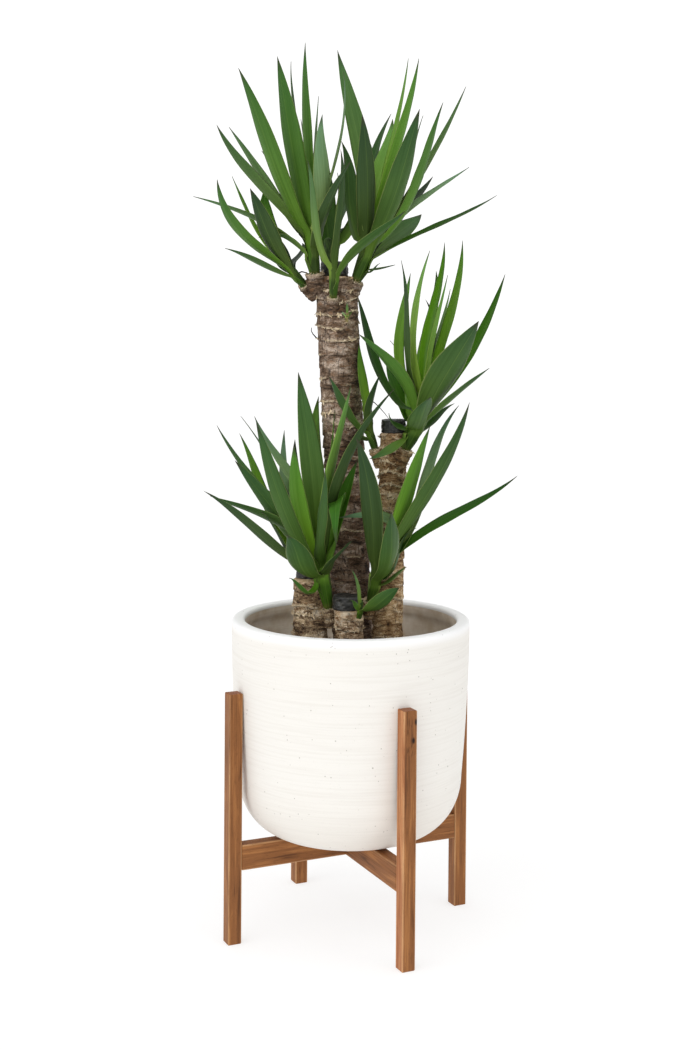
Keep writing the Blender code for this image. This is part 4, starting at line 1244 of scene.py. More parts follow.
def fibre(name: str, bend: float, length: float) -> bpy.types.Mesh:
    """A dry bast fibre one unit long: a thin, bent, three-sided spike.

    Args:
        name: the mesh's name.
        bend: how far its tip leans aside.
        length: how long it stands.

    Returns:
        The mesh.
    """
    points, steps = [], 5
    for step in range(steps):
        share = step / steps
        thick = 0.05 * (1 - share)
        for side in range(3):
            theta = math.tau * side / 3
            points.append((math.cos(theta) * thick + bend * share * share, math.sin(theta) * thick,
                           length * share))
    points.append((bend, 0, length))
    last = 3 * (steps - 1)
    ends = [(last + c, last + (c + 1) % 3, last + 3) for c in range(3)] + [(2, 1, 0)]
    return plain_mesh(name, points, ring_faces(steps, 3) + ends)


@dataclass
class Soil:
    """The soil in the pot, with loose crumbs, bark chips and a few grains of perlite."""

    segments: int = 120
    gap: float = 0.6 * MM

    def build(self) -> None:
        """Makes the filled body and strews it."""
        corner = POT_BASE + CORNER_HEIGHT
        sides = [(60 * MM, POT_BASE + FLOOR + 1 * MM), (118 * MM, 168 * MM),
                 (pot_side(corner) - WALL - self.gap, corner)]
        sides += [((pot_side(SOIL_TOP) - WALL - self.gap) * share, 0.0) for share in np.linspace(1, 0.02, 44)]
        turns = directions(self.segments)
        points = level_loops([(0, 0, z) for _, z in sides], np.array([r for r, _ in sides])[:, None], turns)
        flat = points[3:].reshape(-1, 3)
        flat[:, 2] = [soil_height(x, y) for x, y, _ in flat]
        flat[:, 2] += 1.6 * MM * rough_noise(flat, 9 * MM) + 0.8 * MM * rough_noise(flat, 3.5 * MM, 2)
        surface = Surface()
        surface.add(points, capped(len(sides), self.segments))
        finish = LumpFinish("Damp potting soil", 260, ((0.34, "#17110c"), (0.52, "#33261b"),
                                                       (0.68, "#57432f")), 1.2 * MM).build()
        made = settle(surface.make("soil_bed", [finish]), "soil", "soil")
        top = self.top_only(made)
        sizes = ((1, 1, 0.8), (1.6, 0.8, 0.5), (0.8, 0.7, 0.6))
        shapes = [crumb(f"crumb_{number}", number, size) for number, size in enumerate(sizes)]
        chip = LumpFinish("Pine bark chips", 120, ((0.35, "#3a2416"), (0.55, "#6b4529"), (0.7, "#8d6540")),
                          0.4 * MM, 0.85).build()
        perlite = LumpFinish("Perlite grains", 400, ((0.3, "#cfcac0"), (0.7, "#f0ede6")), 0.4 * MM).build()
        for scatter, material in ((Scatter("soil_crumbs", 26000, 3, 1.2 * MM, 4.5 * MM), finish),
                                  (Scatter("soil_chips", 2600, 5, 4 * MM, 11 * MM), chip),
                                  (Scatter("soil_perlite", 900, 7, 1.5 * MM, 3.5 * MM), perlite)):
            settle(scatter.strew(top, shapes, material), "soil")
        bpy.data.objects.remove(top)

    def top_only(self, made: bpy.types.Object) -> bpy.types.Object:
        """Copies the soil's upper faces, as a carrier for what lies on it.

        Args:
            made: the soil.

        Returns:
            The carrier, which isn't in the scene.
        """
        shell = bmesh.new()
        shell.from_mesh(made.data)
        inner = pot_side(SOIL_TOP) - WALL - 6 * MM
        spare = [f for f in shell.faces
                 if f.normal.z < 0.3 or f.calc_center_median().xy.length > inner or len(f.verts) > 4]
        bmesh.ops.delete(shell, geom=spare, context="FACES")
        return bpy.data.objects.new("soil_top", finish_shell(shell, bpy.data.meshes.new("soil_top")))


@dataclass
class Canes:
    """The bark-covered canes, each with the collars that its shoots grow from, and torn fibres on them."""

    rng: np.random.Generator = field(default_factory=lambda: np.random.default_rng(11))
    # The bark's rows on the tall cane and on the others, its columns for each millimetre of radius, and how
    # far under the soil's level it begins
    tall_row: float = 1.3 * MM
    short_row: float = 1.1 * MM
    bark_columns: float = 3.1
    bark_depth: float = 6 * MM
    # The rings' gaps and waves in millimetres, how strongly each stands out, how torn it is, and how much
    # more so on the short canes
    ring_gap: Pair = (12, 20)
    ring_waves: Row = (1.7, 1.3, 0.8)
    ring_strength: Pair = (0.55, 1.25)
    ring_torn: Pair = (-0.55, 0.5)
    short_cane: float = 700 * MM
    short_torn: float = 0.22
    # Lumps: their rise and size in millimetres, how they are squeezed upright, and their shift in the noise
    bark_lumps: Rows = ((0.8, 16, 1, 0), (0.3, 5, 2, 5), (0.22, 1.8, 0.45, 9))
    groove_width: float = 1.3 * MM
    lip_place: float = 1.0 * MM
    lip_width: float = 1.35 * MM
    lip_rise: float = 0.9 * MM
    # A spot of green skin near the tall cane's top, and the torn ring round its sprout's foot
    skin_spot: Row = (2.1, 0.5, 872.0)
    skin_width: float = 7 * MM
    scar_drop: float = 2 * MM
    scar_radius: float = 6 * MM
    scar_width: float = 1.6 * MM
    # Flakes on each square metre of torn bark, on the tall cane and on the others, and fibres where it frays
    tall_flakes: float = 70000
    short_flakes: float = 130000
    fibres: float = 90000
    # A collar: its size and rows, its rings as radians along it, where its edge is torn and its knobs' size
    collar_width: float = 3.2 * MM
    collar_length: float = 26 * MM
    collar_rows: int = 26
    collar_rings: float = 19
    collar_edge: float = 0.8
    collar_knob: float = 7 * MM

    def rings(self, start: float, end: float, turns: np.ndarray) -> np.ndarray:
        """The wavy heights at which old leaves tore off, ring by ring.

        Args:
            start: the lowest height.
            end: the highest height.
            turns: the directions round the cane.

        Returns:
            A row for each ring, a height for each direction.
        """
        heights, level = [], start - 20 * MM
        wave = np.zeros((3, 2))
        while level < end + 40 * MM:
            wave = 0.55 * wave + self.rng.normal(0, 1, (3, 2)) * np.array(self.ring_waves)[:, None] * MM
            heights.append(level + sum(a * np.cos(n * turns) + b * np.sin(n * turns)
                                       for n, (a, b) in enumerate(wave, 1)))
            level += self.rng.uniform(*self.ring_gap) * MM
        rows = np.array(heights)
        return np.maximum.accumulate(rows + np.arange(len(rows))[:, None] * 1e-6, axis=0)

    def relief(self, heights: np.ndarray, turns: np.ndarray, seed: float, start: float,
               end: float) -> tuple[np.ndarray, np.ndarray, np.ndarray]:
        """The bark's height over a plain cane, with where it is grooved and where its edges are torn.

        Args:
            heights: the rows' heights.
            turns: the columns' directions.
            seed: picks the cane's own pattern.
            start: the lowest ring's height.
            end: the highest ring's height.

        Returns:
            Relief in metres, grooves and torn lips, each a row by column grid.
        """
        rings = self.rings(start, end, turns)
        strength = self.rng.uniform(*self.ring_strength, len(rings) + 1)
        torn = self.rng.uniform(*self.ring_torn, len(rings) + 1)
        torn += self.short_torn if end < self.short_cane else 0.0
        relief = np.zeros((len(heights), len(turns)))
        groove, lip = relief.copy(), relief.copy()
        for column, theta in enumerate(turns):
            edges = rings[:, column]
            index = np.clip(np.searchsorted(edges, heights), 1, len(edges) - 1)
            below, above = edges[index - 1], edges[index]
            share = (heights - below) / np.maximum(above - below, 1e-5)
            patch = np.array([noise.noise(spoke(theta, 1.1, 3.7 * k + seed)) for k in range(len(rings) + 1)])
            scale = strength[index] * (0.85 + 0.5 * patch[index])
            arc = np.clip(0.5 + 2.4 * patch[index], 0.08, 1)
            slope = 1.0 - 2.0 * share
            drop = np.exp(-((1 - share) / 0.09) ** 2)
            relief[:, column] = (slope * scale - 0.9 * drop * scale) * (0.35 + 0.65 * arc) * MM
            # The groove just under the next ring's step, which the bark finish paints dark as shade
            groove[:, column] = (np.exp(-((above - heights) / self.groove_width) ** 2)
                                 * np.clip(0.35 + 0.9 * scale, 0, 1) * arc)
            open_lip = np.clip(4.0 * (patch[index] + torn[index] - 0.04), 0, 1)
            lip[:, column] = np.exp(-((heights - below - self.lip_place) / self.lip_width) ** 2) * open_lip
            relief[:, column] += lip[:, column] * self.lip_rise
        return relief, groove, lip

    def build(self, name: str, cane: Cane, number: int) -> bpy.types.Object:
        """Makes one cane with its collars.

        Args:
            name: the cane's node.
            cane: its shape.
            number: its place in the list.

        Returns:
            The cane.
        """
        foot, top = mm(cane.foot), mm(cane.top)
        columns = round(cane.top_radius * self.bark_columns)
        turns = directions(columns)
        start = SOIL_TOP - self.bark_depth
        step = self.tall_row if name == "cane_tall" else self.short_row
        heights = np.array([foot.z, start - 1 * MM, *np.arange(start, top.z - 0.3 * MM, step), top.z])
        relief, groove, lip = self.relief(heights, turns, 1.7 * number, start, top.z)
        share = (heights - foot.z) / (top.z - foot.z)
        radius = (cane.foot_radius + (cane.top_radius - cane.foot_radius) * share) * MM
        radius = np.where(heights < start, cane.foot_radius * MM - 1 * MM, radius)
        centres = np.array([foot.lerp(top, part) for part in share])
        flat = level_loops(centres, radius[:, None], turns).reshape(-1, 3)
        lumps = sum(rise * rough_noise(flat * (1, 1, squeeze), size * MM, number + shift)
                    for rise, size, squeeze, shift in self.bark_lumps)
        swell = lumps.reshape(relief.shape) * MM + relief - 0.2 * MM
        ease = np.clip((top.z - heights) / (3 * MM), 0, 1)
        swell = swell * (0.4 + 0.6 * ease[:, None]) - (1 - ease[:, None]) ** 2 * 2.2 * MM
        swell[:2] = 0
        points = level_loops(centres, radius[:, None] + swell, turns)
        ragged = rough_noise(points.reshape(-1, 3) * (1, 1, 0.2), 5 * MM, number + 3).reshape(relief.shape)
        edge = cane.cut_band * (0.85 + 1.5 * ragged) * MM
        bare = np.clip((edge - (top.z - heights[:, None])) / (1 * MM) + 0.5, 0, 1)
        skin = np.linalg.norm(points - mm(self.skin_spot), axis=2)
        scar = np.linalg.norm(points - (mm(SHOOTS["sprout"].foot) - Vector((0, 0, self.scar_drop))), axis=2)
        ring = np.exp(-((scar - self.scar_radius) / self.scar_width) ** 2)
        lip = np.maximum(lip, ring * (0.4 + 1.5 * ragged).clip(0, 1))
        surface = Surface()
        surface.add(points, capped(len(heights), columns), groove=(groove * (1 - bare)).ravel(),
                    lip=(lip * (1 - bare)).ravel(), bare=bare.ravel(),
                    green=np.exp(-(skin / self.skin_width) ** 2).ravel())
        for shoot in SHOOTS.values():
            if shoot.cane == name:
                self.collar(surface, shoot)
        made = surface.make(name.replace("cane", "bark"), [FINISHES[name].build()])
        return settle(made, "bark", name)

    def tatter(self, made: bpy.types.Object, number: int) -> None:
        """Strews curled flakes where the bark is torn and frayed fibres round its collars.

        Args:
            made: the finished cane.
            number: its place in the list.
        """
        straw = bpy.data.materials.get(STRAW.name) or STRAW.build()
        flakes = [curl("flake_wide", 0.55, 0.3), curl("flake_long", 0.25, 0.42),
                  curl("flake_flat", 0.4, 0.12)]
        fibres = [fibre("fibre_bent", 0.5, 0.8), fibre("fibre_straight", 0.15, 1.0)]
        flaking = self.tall_flakes if number == 0 else self.short_flakes
        for scatter, shapes in (
                (Scatter(made.name + "_flakes", flaking, 31 + number, 2.5 * MM, 8 * MM, "lip",
                         (0.3, 0.35, 3.1)), flakes),
                (Scatter(made.name + "_fibres", self.fibres, 41 + number, 3 * MM, 8 * MM, "fray",
                         (0.9, 0.9, 3.1)), fibres)):
            strewn = scatter.strew(made, shapes, straw)
            if len(strewn.data.polygons):
                settle(strewn, "bark")
            else:
                bpy.data.objects.remove(strewn)

    def collar(self, surface: Surface, shoot: Shoot) -> None:
        """Adds the bark collar round a shoot's foot.

        Args:
            surface: the cane's mesh.
            shoot: the shoot.
        """
        width = self.collar_width * min(1, shoot.foot_radius / 4)
        columns = max(14, round(shoot.foot_radius * 4))
        turns = directions(columns)
        seed = shoot.foot[0] + 3 * shoot.foot[1]
        placing = shoot.placing()
        points, lip, groove, fray = [], [], [], []
        for share in np.linspace(0, 1, self.collar_rows):
            distance = -self.collar_length * (1 - share)
            ring = 0.5 + 0.5 * math.sin(share * self.collar_rings + seed)
            edge = max(0.0, (share - self.collar_edge) / (1 - self.collar_edge))
            for theta in turns:
                ragged = noise.noise(spoke(theta, 1.6, seed))
                radius = shoot.foot_radius * MM + width * (0.5 + 0.5 * share)
                radius += (0.45 * ring - 0.3 + 0.6 * ragged) * min(width, 1.2 * MM)
                radius -= edge ** 3 * 0.35 * width
                knob = spoke(theta) * 0.9 + Vector((seed, 0, distance / self.collar_knob))
                radius += noise.noise(knob * 2.2) * min(width, 2 * MM) * 0.6
                points.append(placing @ spoke(theta, radius, distance + edge * ragged * 1.6 * MM))
                lip.append(edge ** 1.5 * min(1, max(0.0, 0.75 + 1.2 * ragged)))
                # Grooves between the collar's rings, painted dark in the bark as shade
                groove.append(0.55 * max(0.0, 1 - 2.2 * ring))
                fray.append(edge ** 2)
        points += [placing @ spoke(a, shoot.foot_radius * MM + 0.15 * MM, -0.5 * MM) for a in turns]
        surface.add(points, capped(self.collar_rows + 1, columns), groove=groove + [0.0] * columns,
                    lip=lip + [0.8] * columns, fray=fray + [0.4] * columns)


FINISHES = {
    "cane_tall": BarkFinish("Yucca bark, tall cane", "#c8b5a4", "#98826f", "#6c5745", "#3d3027", 0.66),
    "cane_middle": BarkFinish("Yucca bark, middle cane", "#efd8b4", "#c8a97f", "#93744f", "#483523"),
    "cane_left": BarkFinish("Yucca bark, left cane", "#fff1da", "#d8c09b", "#937a5f", "#33271e"),
    "cane_front": BarkFinish("Yucca bark, front cane", "#fff0da", "#d6bc9a", "#947a5f", "#38291d"),
}
STRAW = LumpFinish("Torn straw-coloured bast", 500, ((0.35, "#b89b72"), (0.5, "#d8c3a0"), (0.65, "#efe2c9")),
                   0.2 * MM)


@dataclass(frozen=True)
class Remains:
    """Dried remains on the tall and middle canes: a curled black stalk, a grey twig and a shrunken leaf."""

    strands: tuple[tuple[float, Rows], ...] = (
        (1.2, ((-38, 28, 786.5), (-44, 29, 787.5), (-50, 30, 790.5), (-54.5, 30, 795.5), (-57, 30, 800),
               (-56.3, 30, 804.5))),
        (0.8, ((23.4, -10, 708.4), (30, -12, 704.5), (36.9, -13, 697.8), (44, -16, 690), (50, -19, 682))),
        (1.1, ((-76, 10, 876.8), (-70, 11, 879.8), (-64, 12, 878.6), (-58, 13, 876), (-52, 15, 875.5))),
    )

    def build(self) -> bpy.types.Object:
        """Makes the strands, each a thin tube that narrows to its far end.

        Returns:
            The strands, as one piece.
        """
        surface = Surface()
        turns = directions(6)
        for radius, path in self.strands:
            spots = np.array([Vector(a).lerp(Vector(b), share) for a, b in zip(path, path[1:])
                              for share in (0, 0.34, 0.67)] + [Vector(path[-1])])
            girth = radius * np.linspace(1, 0.35, len(spots))[:, None, None]
            ahead = np.gradient(spots, axis=0)
            ahead /= np.linalg.norm(ahead, axis=1)[:, None]
            side = np.cross(ahead, (0.0, 1.0, 0.0))
            side /= np.linalg.norm(side, axis=1)[:, None]
            third = np.cross(ahead, side)
            loops = side[:, None] * np.cos(turns)[:, None] + third[:, None] * np.sin(turns)[:, None]
            surface.add((spots[:, None] + loops * girth).reshape(-1, 3) * MM, capped(len(spots), 6))
        dried = LumpFinish("Dried stalks", 300, ((0.4, "#15120f"), (0.6, "#332d26")), 0.2 * MM)
        return settle(surface.make("dried_stalks", [dried.build()]), "bark")


@dataclass
class Wax:
    """The crumpled black wax that seals a cane's sawn top."""

    columns: int = 84
    rows: int = 30
    # It turns over its edge after this share of its rows, at this share of its height. Its folds and creases,
    # given as the bark's lumps are, stand on a surface that is sunk by so many millimetres
    side: float = 0.62
    edge: float = 0.86
    folds: Rows = ((1.3, 9, 1.8, 20), (0.6, 4, 1, 30))
    sunk: float = 1.7

    def build(self, name: str, cane: Cane, number: int) -> bpy.types.Object:
        """Makes one cap of wax.

        Args:
            name: the cane's node.
            cane: the cane under it.
            number: its place in the list.

        Returns:
            The wax.
        """
        height, wide = cane.wax_height * MM, cane.wax_radius * MM
        base = mm(cane.top) + Vector((cane.wax_shift[0] * MM, cane.wax_shift[1] * MM, FIT))
        turns = directions(self.columns)
        levels = np.linspace(0, 1, self.rows)
        up, over = levels / self.side, np.maximum(0, levels - self.side) / (1 - self.side)
        on_side = levels < self.side
        radius = np.where(on_side, 1.0 - 0.05 * up ** 3,
                          0.95 * np.sqrt(np.clip(1 - over ** 2.6, 0.0004, 1)))
        rise = np.where(on_side, up * self.edge, self.edge + (0.94 - self.edge) * over ** 0.6)
        centres = [(base.x, base.y, base.z + level * height) for level in rise]
        points = level_loops(centres, wide * radius[:, None], turns).reshape(-1, 3)
        folds = sum(deep * (1 - 2 * np.abs(rough_noise(points * (1, 1, squeeze), size * MM, number + shift)))
                    for deep, size, squeeze, shift in self.folds)
        push = (folds - self.sunk) * MM
        out = points - np.array(base + Vector((0, 0, height * 0.4)))
        out /= np.linalg.norm(out, axis=1)[:, None]
        points = points + out * push[:, None]
        points[:, 2] = np.maximum(points[:, 2], base.z)
        surface = Surface()
        surface.add(points, capped(self.rows, self.columns))
        made = surface.make(name.replace("cane", "cap"), [WaxFinish().build()])
        return settle(made, "wax", name.replace("cane", "wax"))


@dataclass
class Leaves:
    """Every shoot: its young stem and its leaves, laid where the solids have them."""

    nodes: dict[str, bpy.types.Object]
    rng: np.random.Generator = field(default_factory=lambda: np.random.default_rng(5))
    stations: int = 26
    # The blade as the solids have it: its places, its S-bend, how far out its root sits on the stem, where
    # its twist ends and the rule that swings it clear
    blade_stations: Row = (0.0, 0.2, 0.45, 0.7, 0.9)
    s_bend: float = 10.4
    root_out: float = 0.6
    twist_end: float = 0.35
    free_from: float = 0.35
    clearance: float = 1.0 * MM
    swing_step: float = 5 * MM
    swing_steps: int = 18
    # The dressed blade: places across it, the last places before its tip, its waves' length and height in
    # millimetres, how far leaves differ in tone, and how far apart they lie on the UV map
    section: Row = (-1.0, -0.82, -0.55, -0.26, 0.0, 0.26, 0.55, 0.82, 1.0)
    tip_places: Row = (0.975, 0.99)
    wave_reach: Pair = (45, 80)
    wave_rise: Pair = (0.1, 0.5)
    tint_spread: float = 0.05
    uv_step: float = 0.37
    # Its base: each sheath clasps its stem over those inside it, stands off it so far at its foot and so much
    # more at its seat, and comes free within the first part of its blade
    sheath_length: float = 60 * MM
    sheath_lift: Pair = (0.3 * MM, 0.25 * MM)
    sheath_free: float = 0.13
    sheath_layer: float = 0.34 * MM
    sheath_layers: int = 18
    sheath_spread: float = 0.9
    sheath_wrap: float = 1.7
    sheath_rows: int = 9
    # A stem whose head is thinner than this in millimetres, as the sprout's is, has no sheaths
    bare_stem: float = 2
    # The dressed stem: its columns and rows, its growing tip's places as shares of its radius beyond its
    # head, how far apart old sheaths tore off it and how far up from its foot their edges are dry
    stem_columns: int = 20
    stem_row: float = 0.9 * MM
    stem_tip: Row = (0.0, 0.3, 0.5, 0.62, 0.68)
    stem_ring: float = 7 * MM
    stem_dry: float = 9 * MM

    def curve(self, shoot: Shoot, leaf: Leaf, swing: float) -> tuple[Vector, ...]:
        """Lays out a leaf.

        Args:
            shoot: its shoot.
            leaf: the leaf.
            swing: how far its tip is moved in depth.

        Returns:
            Its root, its tip, its bow, its S-bend and its upward side.
        """
        lean = math.radians(leaf.lean)
        out = spoke(math.radians(leaf.heading))
        run = out * math.sin(lean) + Vector((0, 0, math.cos(lean)))
        upper = Vector((0, 0, math.sin(lean))) - out * math.cos(lean)
        side = Vector((-out.y, out.x, 0))
        seat = shoot.seat(leaf)
        root = seat + out * shoot.head_radius * MM * self.root_out
        tip = seat + run * leaf.length * MM + Vector((0, swing, 0))
        bow = (upper * leaf.arch + side * leaf.sway) * 4 * MM
        bend = (upper * leaf.hook + side * leaf.drift) * self.s_bend * MM
        return root, tip, bow, bend, upper

    def frame_at(self, curve: tuple[Vector, ...], turn: float, s: float) -> tuple[Vector, Vector, Vector]:
        """Finds how the blade lies at a place along it.

        Args:
            curve: the leaf's curve.
            turn: how far the blade is twisted, in degrees.
            s: the place, 0 at its root and 1 at its tip.

        Returns:
            Its centre, its direction across and its upper side.
        """
        root, tip, bow, bend, upper = curve
        centre = root.lerp(tip, s) + bow * (s * (1 - s)) + bend * (s * (1 - s) * (2 * s - 1))
        tangent = (tip - root + bow * (1 - 2 * s) + bend * (6 * s * (1 - s) - 1)).normalized()
        top = (upper - tangent * upper.dot(tangent)).normalized()
        share = min(s / self.twist_end, 1)
        angle = math.radians(turn) * share * share * (3 - 2 * share)
        across = tangent.cross(top)
        return (centre, across * math.cos(angle) + top * math.sin(angle),
                top * math.cos(angle) - across * math.sin(angle))

    def coarse(self, curve: tuple[Vector, ...], leaf: Leaf, extra: float, start: float) -> BVHTree:
        """Makes a search tree of a blade as the solids have it.

        Args:
            curve: the leaf's curve.
            leaf: the leaf.
            extra: how much it is enlarged all round.
            start: the place along it where the tree starts.

        Returns:
            The tree.
        """
        points, faces = [], []
        stations = [s for s in self.blade_stations if s >= start]
        for s in stations:
            centre, across, top = self.frame_at(curve, leaf.turn, s)
            half, thick = leaf.half(s) + extra, leaf.thick(s) + extra
            fold = centre - top * fold_depth(half, s)
            points += [centre - across * half, fold + top * thick, centre + across * half, fold - top * thick]
        last = 4 * (len(stations) - 1)
        for low in range(0, last, 4):
            high = low + 4
            for a, b in ((0, 1), (2, 3)):
                faces += [(low + a, low + b, high + b), (low + a, high + b, high + a)]
            for a, b in ((1, 2), (3, 0)):
                faces += [(low + a, low + b, high + a), (low + b, high + b, high + a)]
        points.append(curve[1])
        faces += [(last + a, last + (a + 1) % 4, last + 4) for a in range(4)]
        return BVHTree.FromPolygons(points, faces + [(0, 3, 1), (1, 3, 2)])

    def stem_tree(self, shoot: Shoot) -> BVHTree:
        """Makes a search tree of a shoot's stem as the solids have it.

        Args:
            shoot: the shoot.

        Returns:
            The tree.
        """
        foot, head = shoot.ends()
        length = (head - foot).length
        low, high = shoot.foot_radius * MM, shoot.head_radius * MM
        steps = [(-SOCKET_DEPTH, low), (0.0, low), (0.5 * length, (low + high) / 2), (length, high),
                 (length + 0.7 * high, 0.6 * high)]
        placing = shoot.placing()
        points = [placing @ spoke(math.tau * k / 10, r, d) for d, r in steps for k in range(10)]
        return BVHTree.FromPolygons(points, capped(len(steps), 10))

    def place(self) -> dict[str, list[tuple[Leaf, float]]]:
        """Swings each leaf just clear, in depth, of the canes, the pot and the leaves before it.

        Returns:
            Each shoot's leaves, with how far each one's tip is moved.
        """
        names = ["pot", "soil", *CANES, *(name.replace("cane", "wax") for name in CANES)]
        meshes = [self.nodes[name].data for name in names]
        solids = [BVHTree.FromPolygons([v.co for v in mesh.vertices], [p.vertices for p in mesh.polygons])
                  for mesh in meshes]
        stems = {name: self.stem_tree(shoot) for name, shoot in SHOOTS.items()}
        placed: list[tuple[str, BVHTree, BVHTree]] = []
        swings: dict[str, list[tuple[Leaf, float]]] = {}
        tries = sorted(range(-self.swing_steps, self.swing_steps + 1), key=lambda k: (abs(k), k))
        for name, shoot in SHOOTS.items():
            others = solids + [tree for other, tree in stems.items() if other != name]
            swings[name] = []
            for leaf in shoot.leaves:
                best, fewest = None, 1000
                for k in tries:
                    curve = self.curve(shoot, leaf, k * self.swing_step)
                    whole = self.coarse(curve, leaf, self.clearance, 0.0)
                    if any(whole.overlap(tree) for tree in others):
                        continue
                    if any(owner != name and whole.overlap(full) for owner, full, _ in placed):
                        continue
                    free = self.coarse(curve, leaf, self.clearance, self.free_from)
                    crossings = sum(len(free.overlap(part)) for owner, _, part in placed if owner == name)
                    if crossings < fewest:
                        best, fewest = k * self.swing_step, crossings
                    if not crossings:
                        break
                if best is not None:
                    curve = self.curve(shoot, leaf, best)
                    swings[name].append((leaf, best))
                    trees = (self.coarse(curve, leaf, 0.0, start) for start in (0.0, self.free_from))
                    placed.append((name, *trees))
        return swings

    def blade(self, surface: Surface, shoot: Shoot, leaf: Leaf, swing: float, layer: float,
              number: int) -> None:
        """Adds one leaf: a sheath round the stem, then a closed, softly folded blade with a dry point.

        Args:
            surface: the shoot's mesh.
            shoot: its shoot.
            leaf: the leaf.
            swing: how far its tip is moved in depth.
            layer: how far its base stands off the stem, over the bases inside it.
            number: the leaf's number among all leaves.
        """
        curve = self.curve(shoot, leaf, swing)
        foot, head = shoot.ends()
        axis = (head - foot).normalized()
        seat = shoot.seat(leaf)
        out = spoke(math.radians(leaf.heading))
        out = (out - axis * out.dot(axis)).normalized()
        side = axis.cross(out)
        length = leaf.length * MM
        sheathed = shoot.head_radius > self.bare_stem
        down = min(self.sheath_length, (seat - foot).length + 2 * MM) if sheathed else 2 * MM
        places = [*np.linspace(-down / length, 0, self.sheath_rows)[:-1],
                  *np.linspace(0, 1, self.stations + 1)[:-1], *self.tip_places]
        section = [(a, 1) for a in self.section] + [(a, -1) for a in reversed(self.section[1:-1])]
        phase, reach = self.rng.uniform(0, math.tau), self.rng.uniform(*self.wave_reach)
        ripple = self.rng.uniform(*self.wave_rise) * MM
        points, values = [], []
        for s in places:
            on_blade = max(s, 0)
            centre, across, top = self.frame_at(curve, leaf.turn, on_blade)
            half, thick = leaf.half(on_blade), leaf.thick(on_blade)
            sunk = fold_depth(half, s)
            wave = math.sin(math.tau * s * leaf.length / reach + phase) * ripple * min(1, 4 * s * (1 - s))
            free = max(0.0, min(1.0, s / self.sheath_free))
            free = free * free * (3 - 2 * free)
            below = max(0.0, -s * length / down)
            level = (seat + axis * (s * length) - foot).dot(axis) / (head - foot).length
            stand_off = self.sheath_lift[0] + (self.sheath_lift[1] + layer) * (1 - below) ** 1.2
            off = shoot.girth(max(0.0, min(1.0, level))) + stand_off
            wrap = min(self.sheath_wrap, half * (1 + self.sheath_spread * below) / off)
            for a, face in section:
                body = face * thick * (1 - 0.7 * a * a) * (abs(a) < 1)
                lift = -sunk * (1 - abs(a) ** 1.5) + wave * a * abs(a) + body
                flat = centre + across * (half * a) + top * lift
                round_out = out * math.cos(-a * wrap) + side * math.sin(-a * wrap)
                points.append((seat + axis * (s * length) + round_out * (off - 0.7 * body)).lerp(flat, free))
                values.append((a, on_blade, below, half * a + self.uv_step * number, s * length))
        points.append(curve[1])
        values.append((0.0, 1.0, 0.0, self.uv_step * number, length))
        size, last = len(section), (len(places) - 1) * len(section)
        faces = ring_faces(len(places), size)
        faces += [(last + c, last + (c + 1) % size, last + size) for c in range(size)]
        finishes = [int(index % size >= len(self.section) - 1) for index in range(len(faces))]
        faces.append(tuple(range(size - 1, -1, -1)))
        light, hue = self.rng.normal(1, self.tint_spread), self.rng.normal(0, self.tint_spread / 2)
        tint = np.array(linear(leaf.tone.value)) * (light * (1 + hue), light, light * (1 - hue), 1)
        values = np.array(values)
        surface.add(points, faces, [*finishes, 1], across=values[:, 0], along=values[:, 1],
                    sheath=values[:, 2], uv=values[:, 3:], tint=np.tile(tint, (len(points), 1)))

    def stem(self, surface: Surface, shoot: Shoot) -> None:
        """Adds a shoot's stem, from its plug in the cane to its growing tip, ringed by dry sheath edges.

        Args:
            surface: the shoot's mesh.
            shoot: the shoot.
        """
        foot, head = shoot.ends()
        length, high = (head - foot).length, shoot.head_radius * MM
        placing = shoot.placing()
        distances = np.append(np.arange(-SOCKET_DEPTH, length, self.stem_row),
                              length + high * np.array(self.stem_tip))
        points, dry = [], []
        for distance in distances:
            radius = shoot.girth(min(1.0, distance / length)) if distance > 0 else shoot.foot_radius * MM
            past = max(0.0, (distance - length) / (0.7 * high))
            radius *= math.sqrt(max(0.0, 1 - 0.8 * past ** 2)) if past < 1 else 0.4
            for k in range(self.stem_columns):
                theta = math.tau * k / self.stem_columns
                ring = (distance / self.stem_ring + 0.25 * math.sin(theta + distance * 90)) % 1
                step = (0.1 - 0.2 * ring) * MM if 0 <= distance and past == 0 else -0.3 * MM
                points.append(placing @ spoke(theta, radius + step, distance))
                low_part = max(0.0, 1 - max(0.0, distance) / self.stem_dry)
                dry.append(max(0.0, 1 - ring * 3) * 0.8 * low_part if high > self.bare_stem * MM else 0.85)
        surface.add(points, capped(len(distances), self.stem_columns), 2, dry=dry)

    def build(self) -> None:
        """Makes every shoot."""
        finishes = [LeafFinish("Yucca leaf, upper face", 0.0, 0.14, 0.42).build(),
                    LeafFinish("Yucca leaf, under face", 0.16, 0.2, 0.48).build(),
                    StemFinish().build()]
        number = 0
        for name, leaves in self.place().items():
            surface = Surface()
            self.stem(surface, SHOOTS[name])
            layers = self.sheath_layer * min(self.sheath_layers, len(leaves))
            layers *= min(1, SHOOTS[name].head_radius / 5)
            for order, (leaf, swing) in enumerate(leaves):
                number += 1
                layer = layers * (1 - order / max(1, len(leaves) - 1))
                self.blade(surface, SHOOTS[name], leaf, swing, layer, number)
            settle(surface.make(name.replace("shoot", "leaves").replace("sprout", "leaves_sprout"), finishes),
                   "leaf", name)


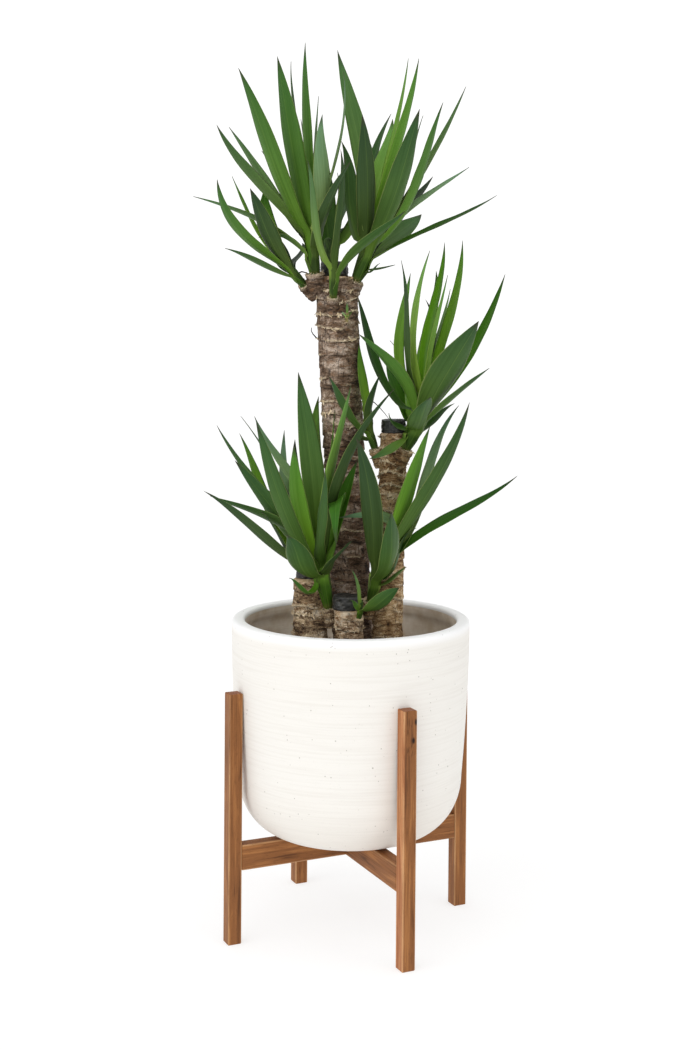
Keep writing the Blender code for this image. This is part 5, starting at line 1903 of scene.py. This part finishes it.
@dataclass(frozen=True)
class Studio:
    """The white sweep, the camera and the soft lamps, each lamp with its power, direction and spread."""

    place: Triple = (0.0, -2.0917, 0.8163)
    lens: float = 53.376
    yaw: float = math.radians(0.105)
    pitch: float = math.radians(1.189)
    roll: float = math.radians(0.456)
    shift: float = -0.1653
    backdrop: float = 1.1
    ambient: float = 0.6
    floor_reach: float = 30.0
    floor_shade: float = 0.4
    floor_glow: float = 0.66
    lamps: tuple[tuple[str, float, Triple, float], ...] = (
        ("key", 0.85, (0.75, 0.7, -0.6), 60), ("fill", 0.5, (-0.8, 0.7, -0.5), 70),
        ("top", 0.6, (0.05, 0.1, -1), 80))

    def camera(self) -> None:
        """Stands the camera where the photo was taken."""
        data = bpy.data.cameras.new("camera")
        data.lens, data.sensor_width, data.shift_y = self.lens, 36, self.shift
        right = Vector((math.cos(self.yaw), math.sin(self.yaw), 0))
        level = Vector((-math.sin(self.yaw), math.cos(self.yaw), 0))
        ahead = level * math.cos(self.pitch) - Vector((0, 0, math.sin(self.pitch)))
        up = level * math.sin(self.pitch) + Vector((0, 0, math.cos(self.pitch)))
        side = right * math.cos(self.roll) + up * math.sin(self.roll)
        rise = up * math.cos(self.roll) - right * math.sin(self.roll)
        made = put("camera", data)
        turned = Matrix((side, rise, -ahead)).transposed().to_4x4()
        made.matrix_world = Matrix.Translation(self.place) @ turned
        bpy.context.scene.camera = made

    def light(self) -> None:
        """Lights a white room: even light all round, a soft key from the front left, a weaker fill."""
        world = bpy.data.worlds.new("White room")
        bpy.context.scene.world = world
        world.use_nodes = True
        tree = world.node_tree
        seen = tree.nodes["Background"]
        seen.inputs["Color"].default_value = (1, 1, 1, 1)
        seen.inputs["Strength"].default_value = self.backdrop
        lit = add_node(tree, "ShaderNodeBackground", {"Color": (1, 1, 1, 1), "Strength": self.ambient})
        ray = add_node(tree, "ShaderNodeLightPath", out="Is Camera Ray")
        mix = add_node(tree, "ShaderNodeMixShader", {0: ray, 1: lit, 2: seen.outputs[0]})
        tree.links.new(mix, tree.nodes["World Output"].inputs["Surface"])
        for name, power, toward, spread in self.lamps:
            data = bpy.data.lights.new(name, "SUN")
            data.energy, data.angle = power, math.radians(spread)
            lamp = put(name, data)
            lamp.rotation_mode = "QUATERNION"
            lamp.rotation_quaternion = Vector(toward).to_track_quat("-Z", "Y")

    def floor(self) -> None:
        """Lays the floor, wide enough to fill the view and twice as far to the back."""
        side, back = self.floor_reach, 2 * self.floor_reach
        mesh = plain_mesh("floor", [(-side, -side, 0), (side, -side, 0), (side, back, 0), (-side, back, 0)],
                          [(0, 1, 2, 3)])
        material, _, shader = start_material("White paper sweep")
        for name, value in (("Base Color", (self.floor_shade,) * 3 + (1,)), ("Emission Color", (1, 1, 1, 1)),
                            ("Emission Strength", self.floor_glow), ("Roughness", 0.9),
                            ("Specular IOR Level", 0.0)):
            shader.inputs[name].default_value = value
        mesh.materials.append(material)
        put("floor", mesh)


def main() -> None:
    """Builds and dresses every piece, then the studio."""
    logging.basicConfig(level=logging.INFO, format="%(name)s: %(message)s")
    nodes = frame["nodes"]
    bpy.context.scene.view_settings.view_transform = "Standard"
    Stand(nodes).dress()
    Pot().build()
    Soil().build()
    canes, wax = Canes(), Wax()
    for number, (name, cane) in enumerate(CANES.items()):
        canes.tatter(canes.build(name, cane, number), number)
        wax.build(name, cane, number)
    Remains().build()
    Leaves(nodes).build()
    studio = Studio()
    studio.floor()
    studio.light()
    studio.camera()


if __name__ == "__main__":
    main()
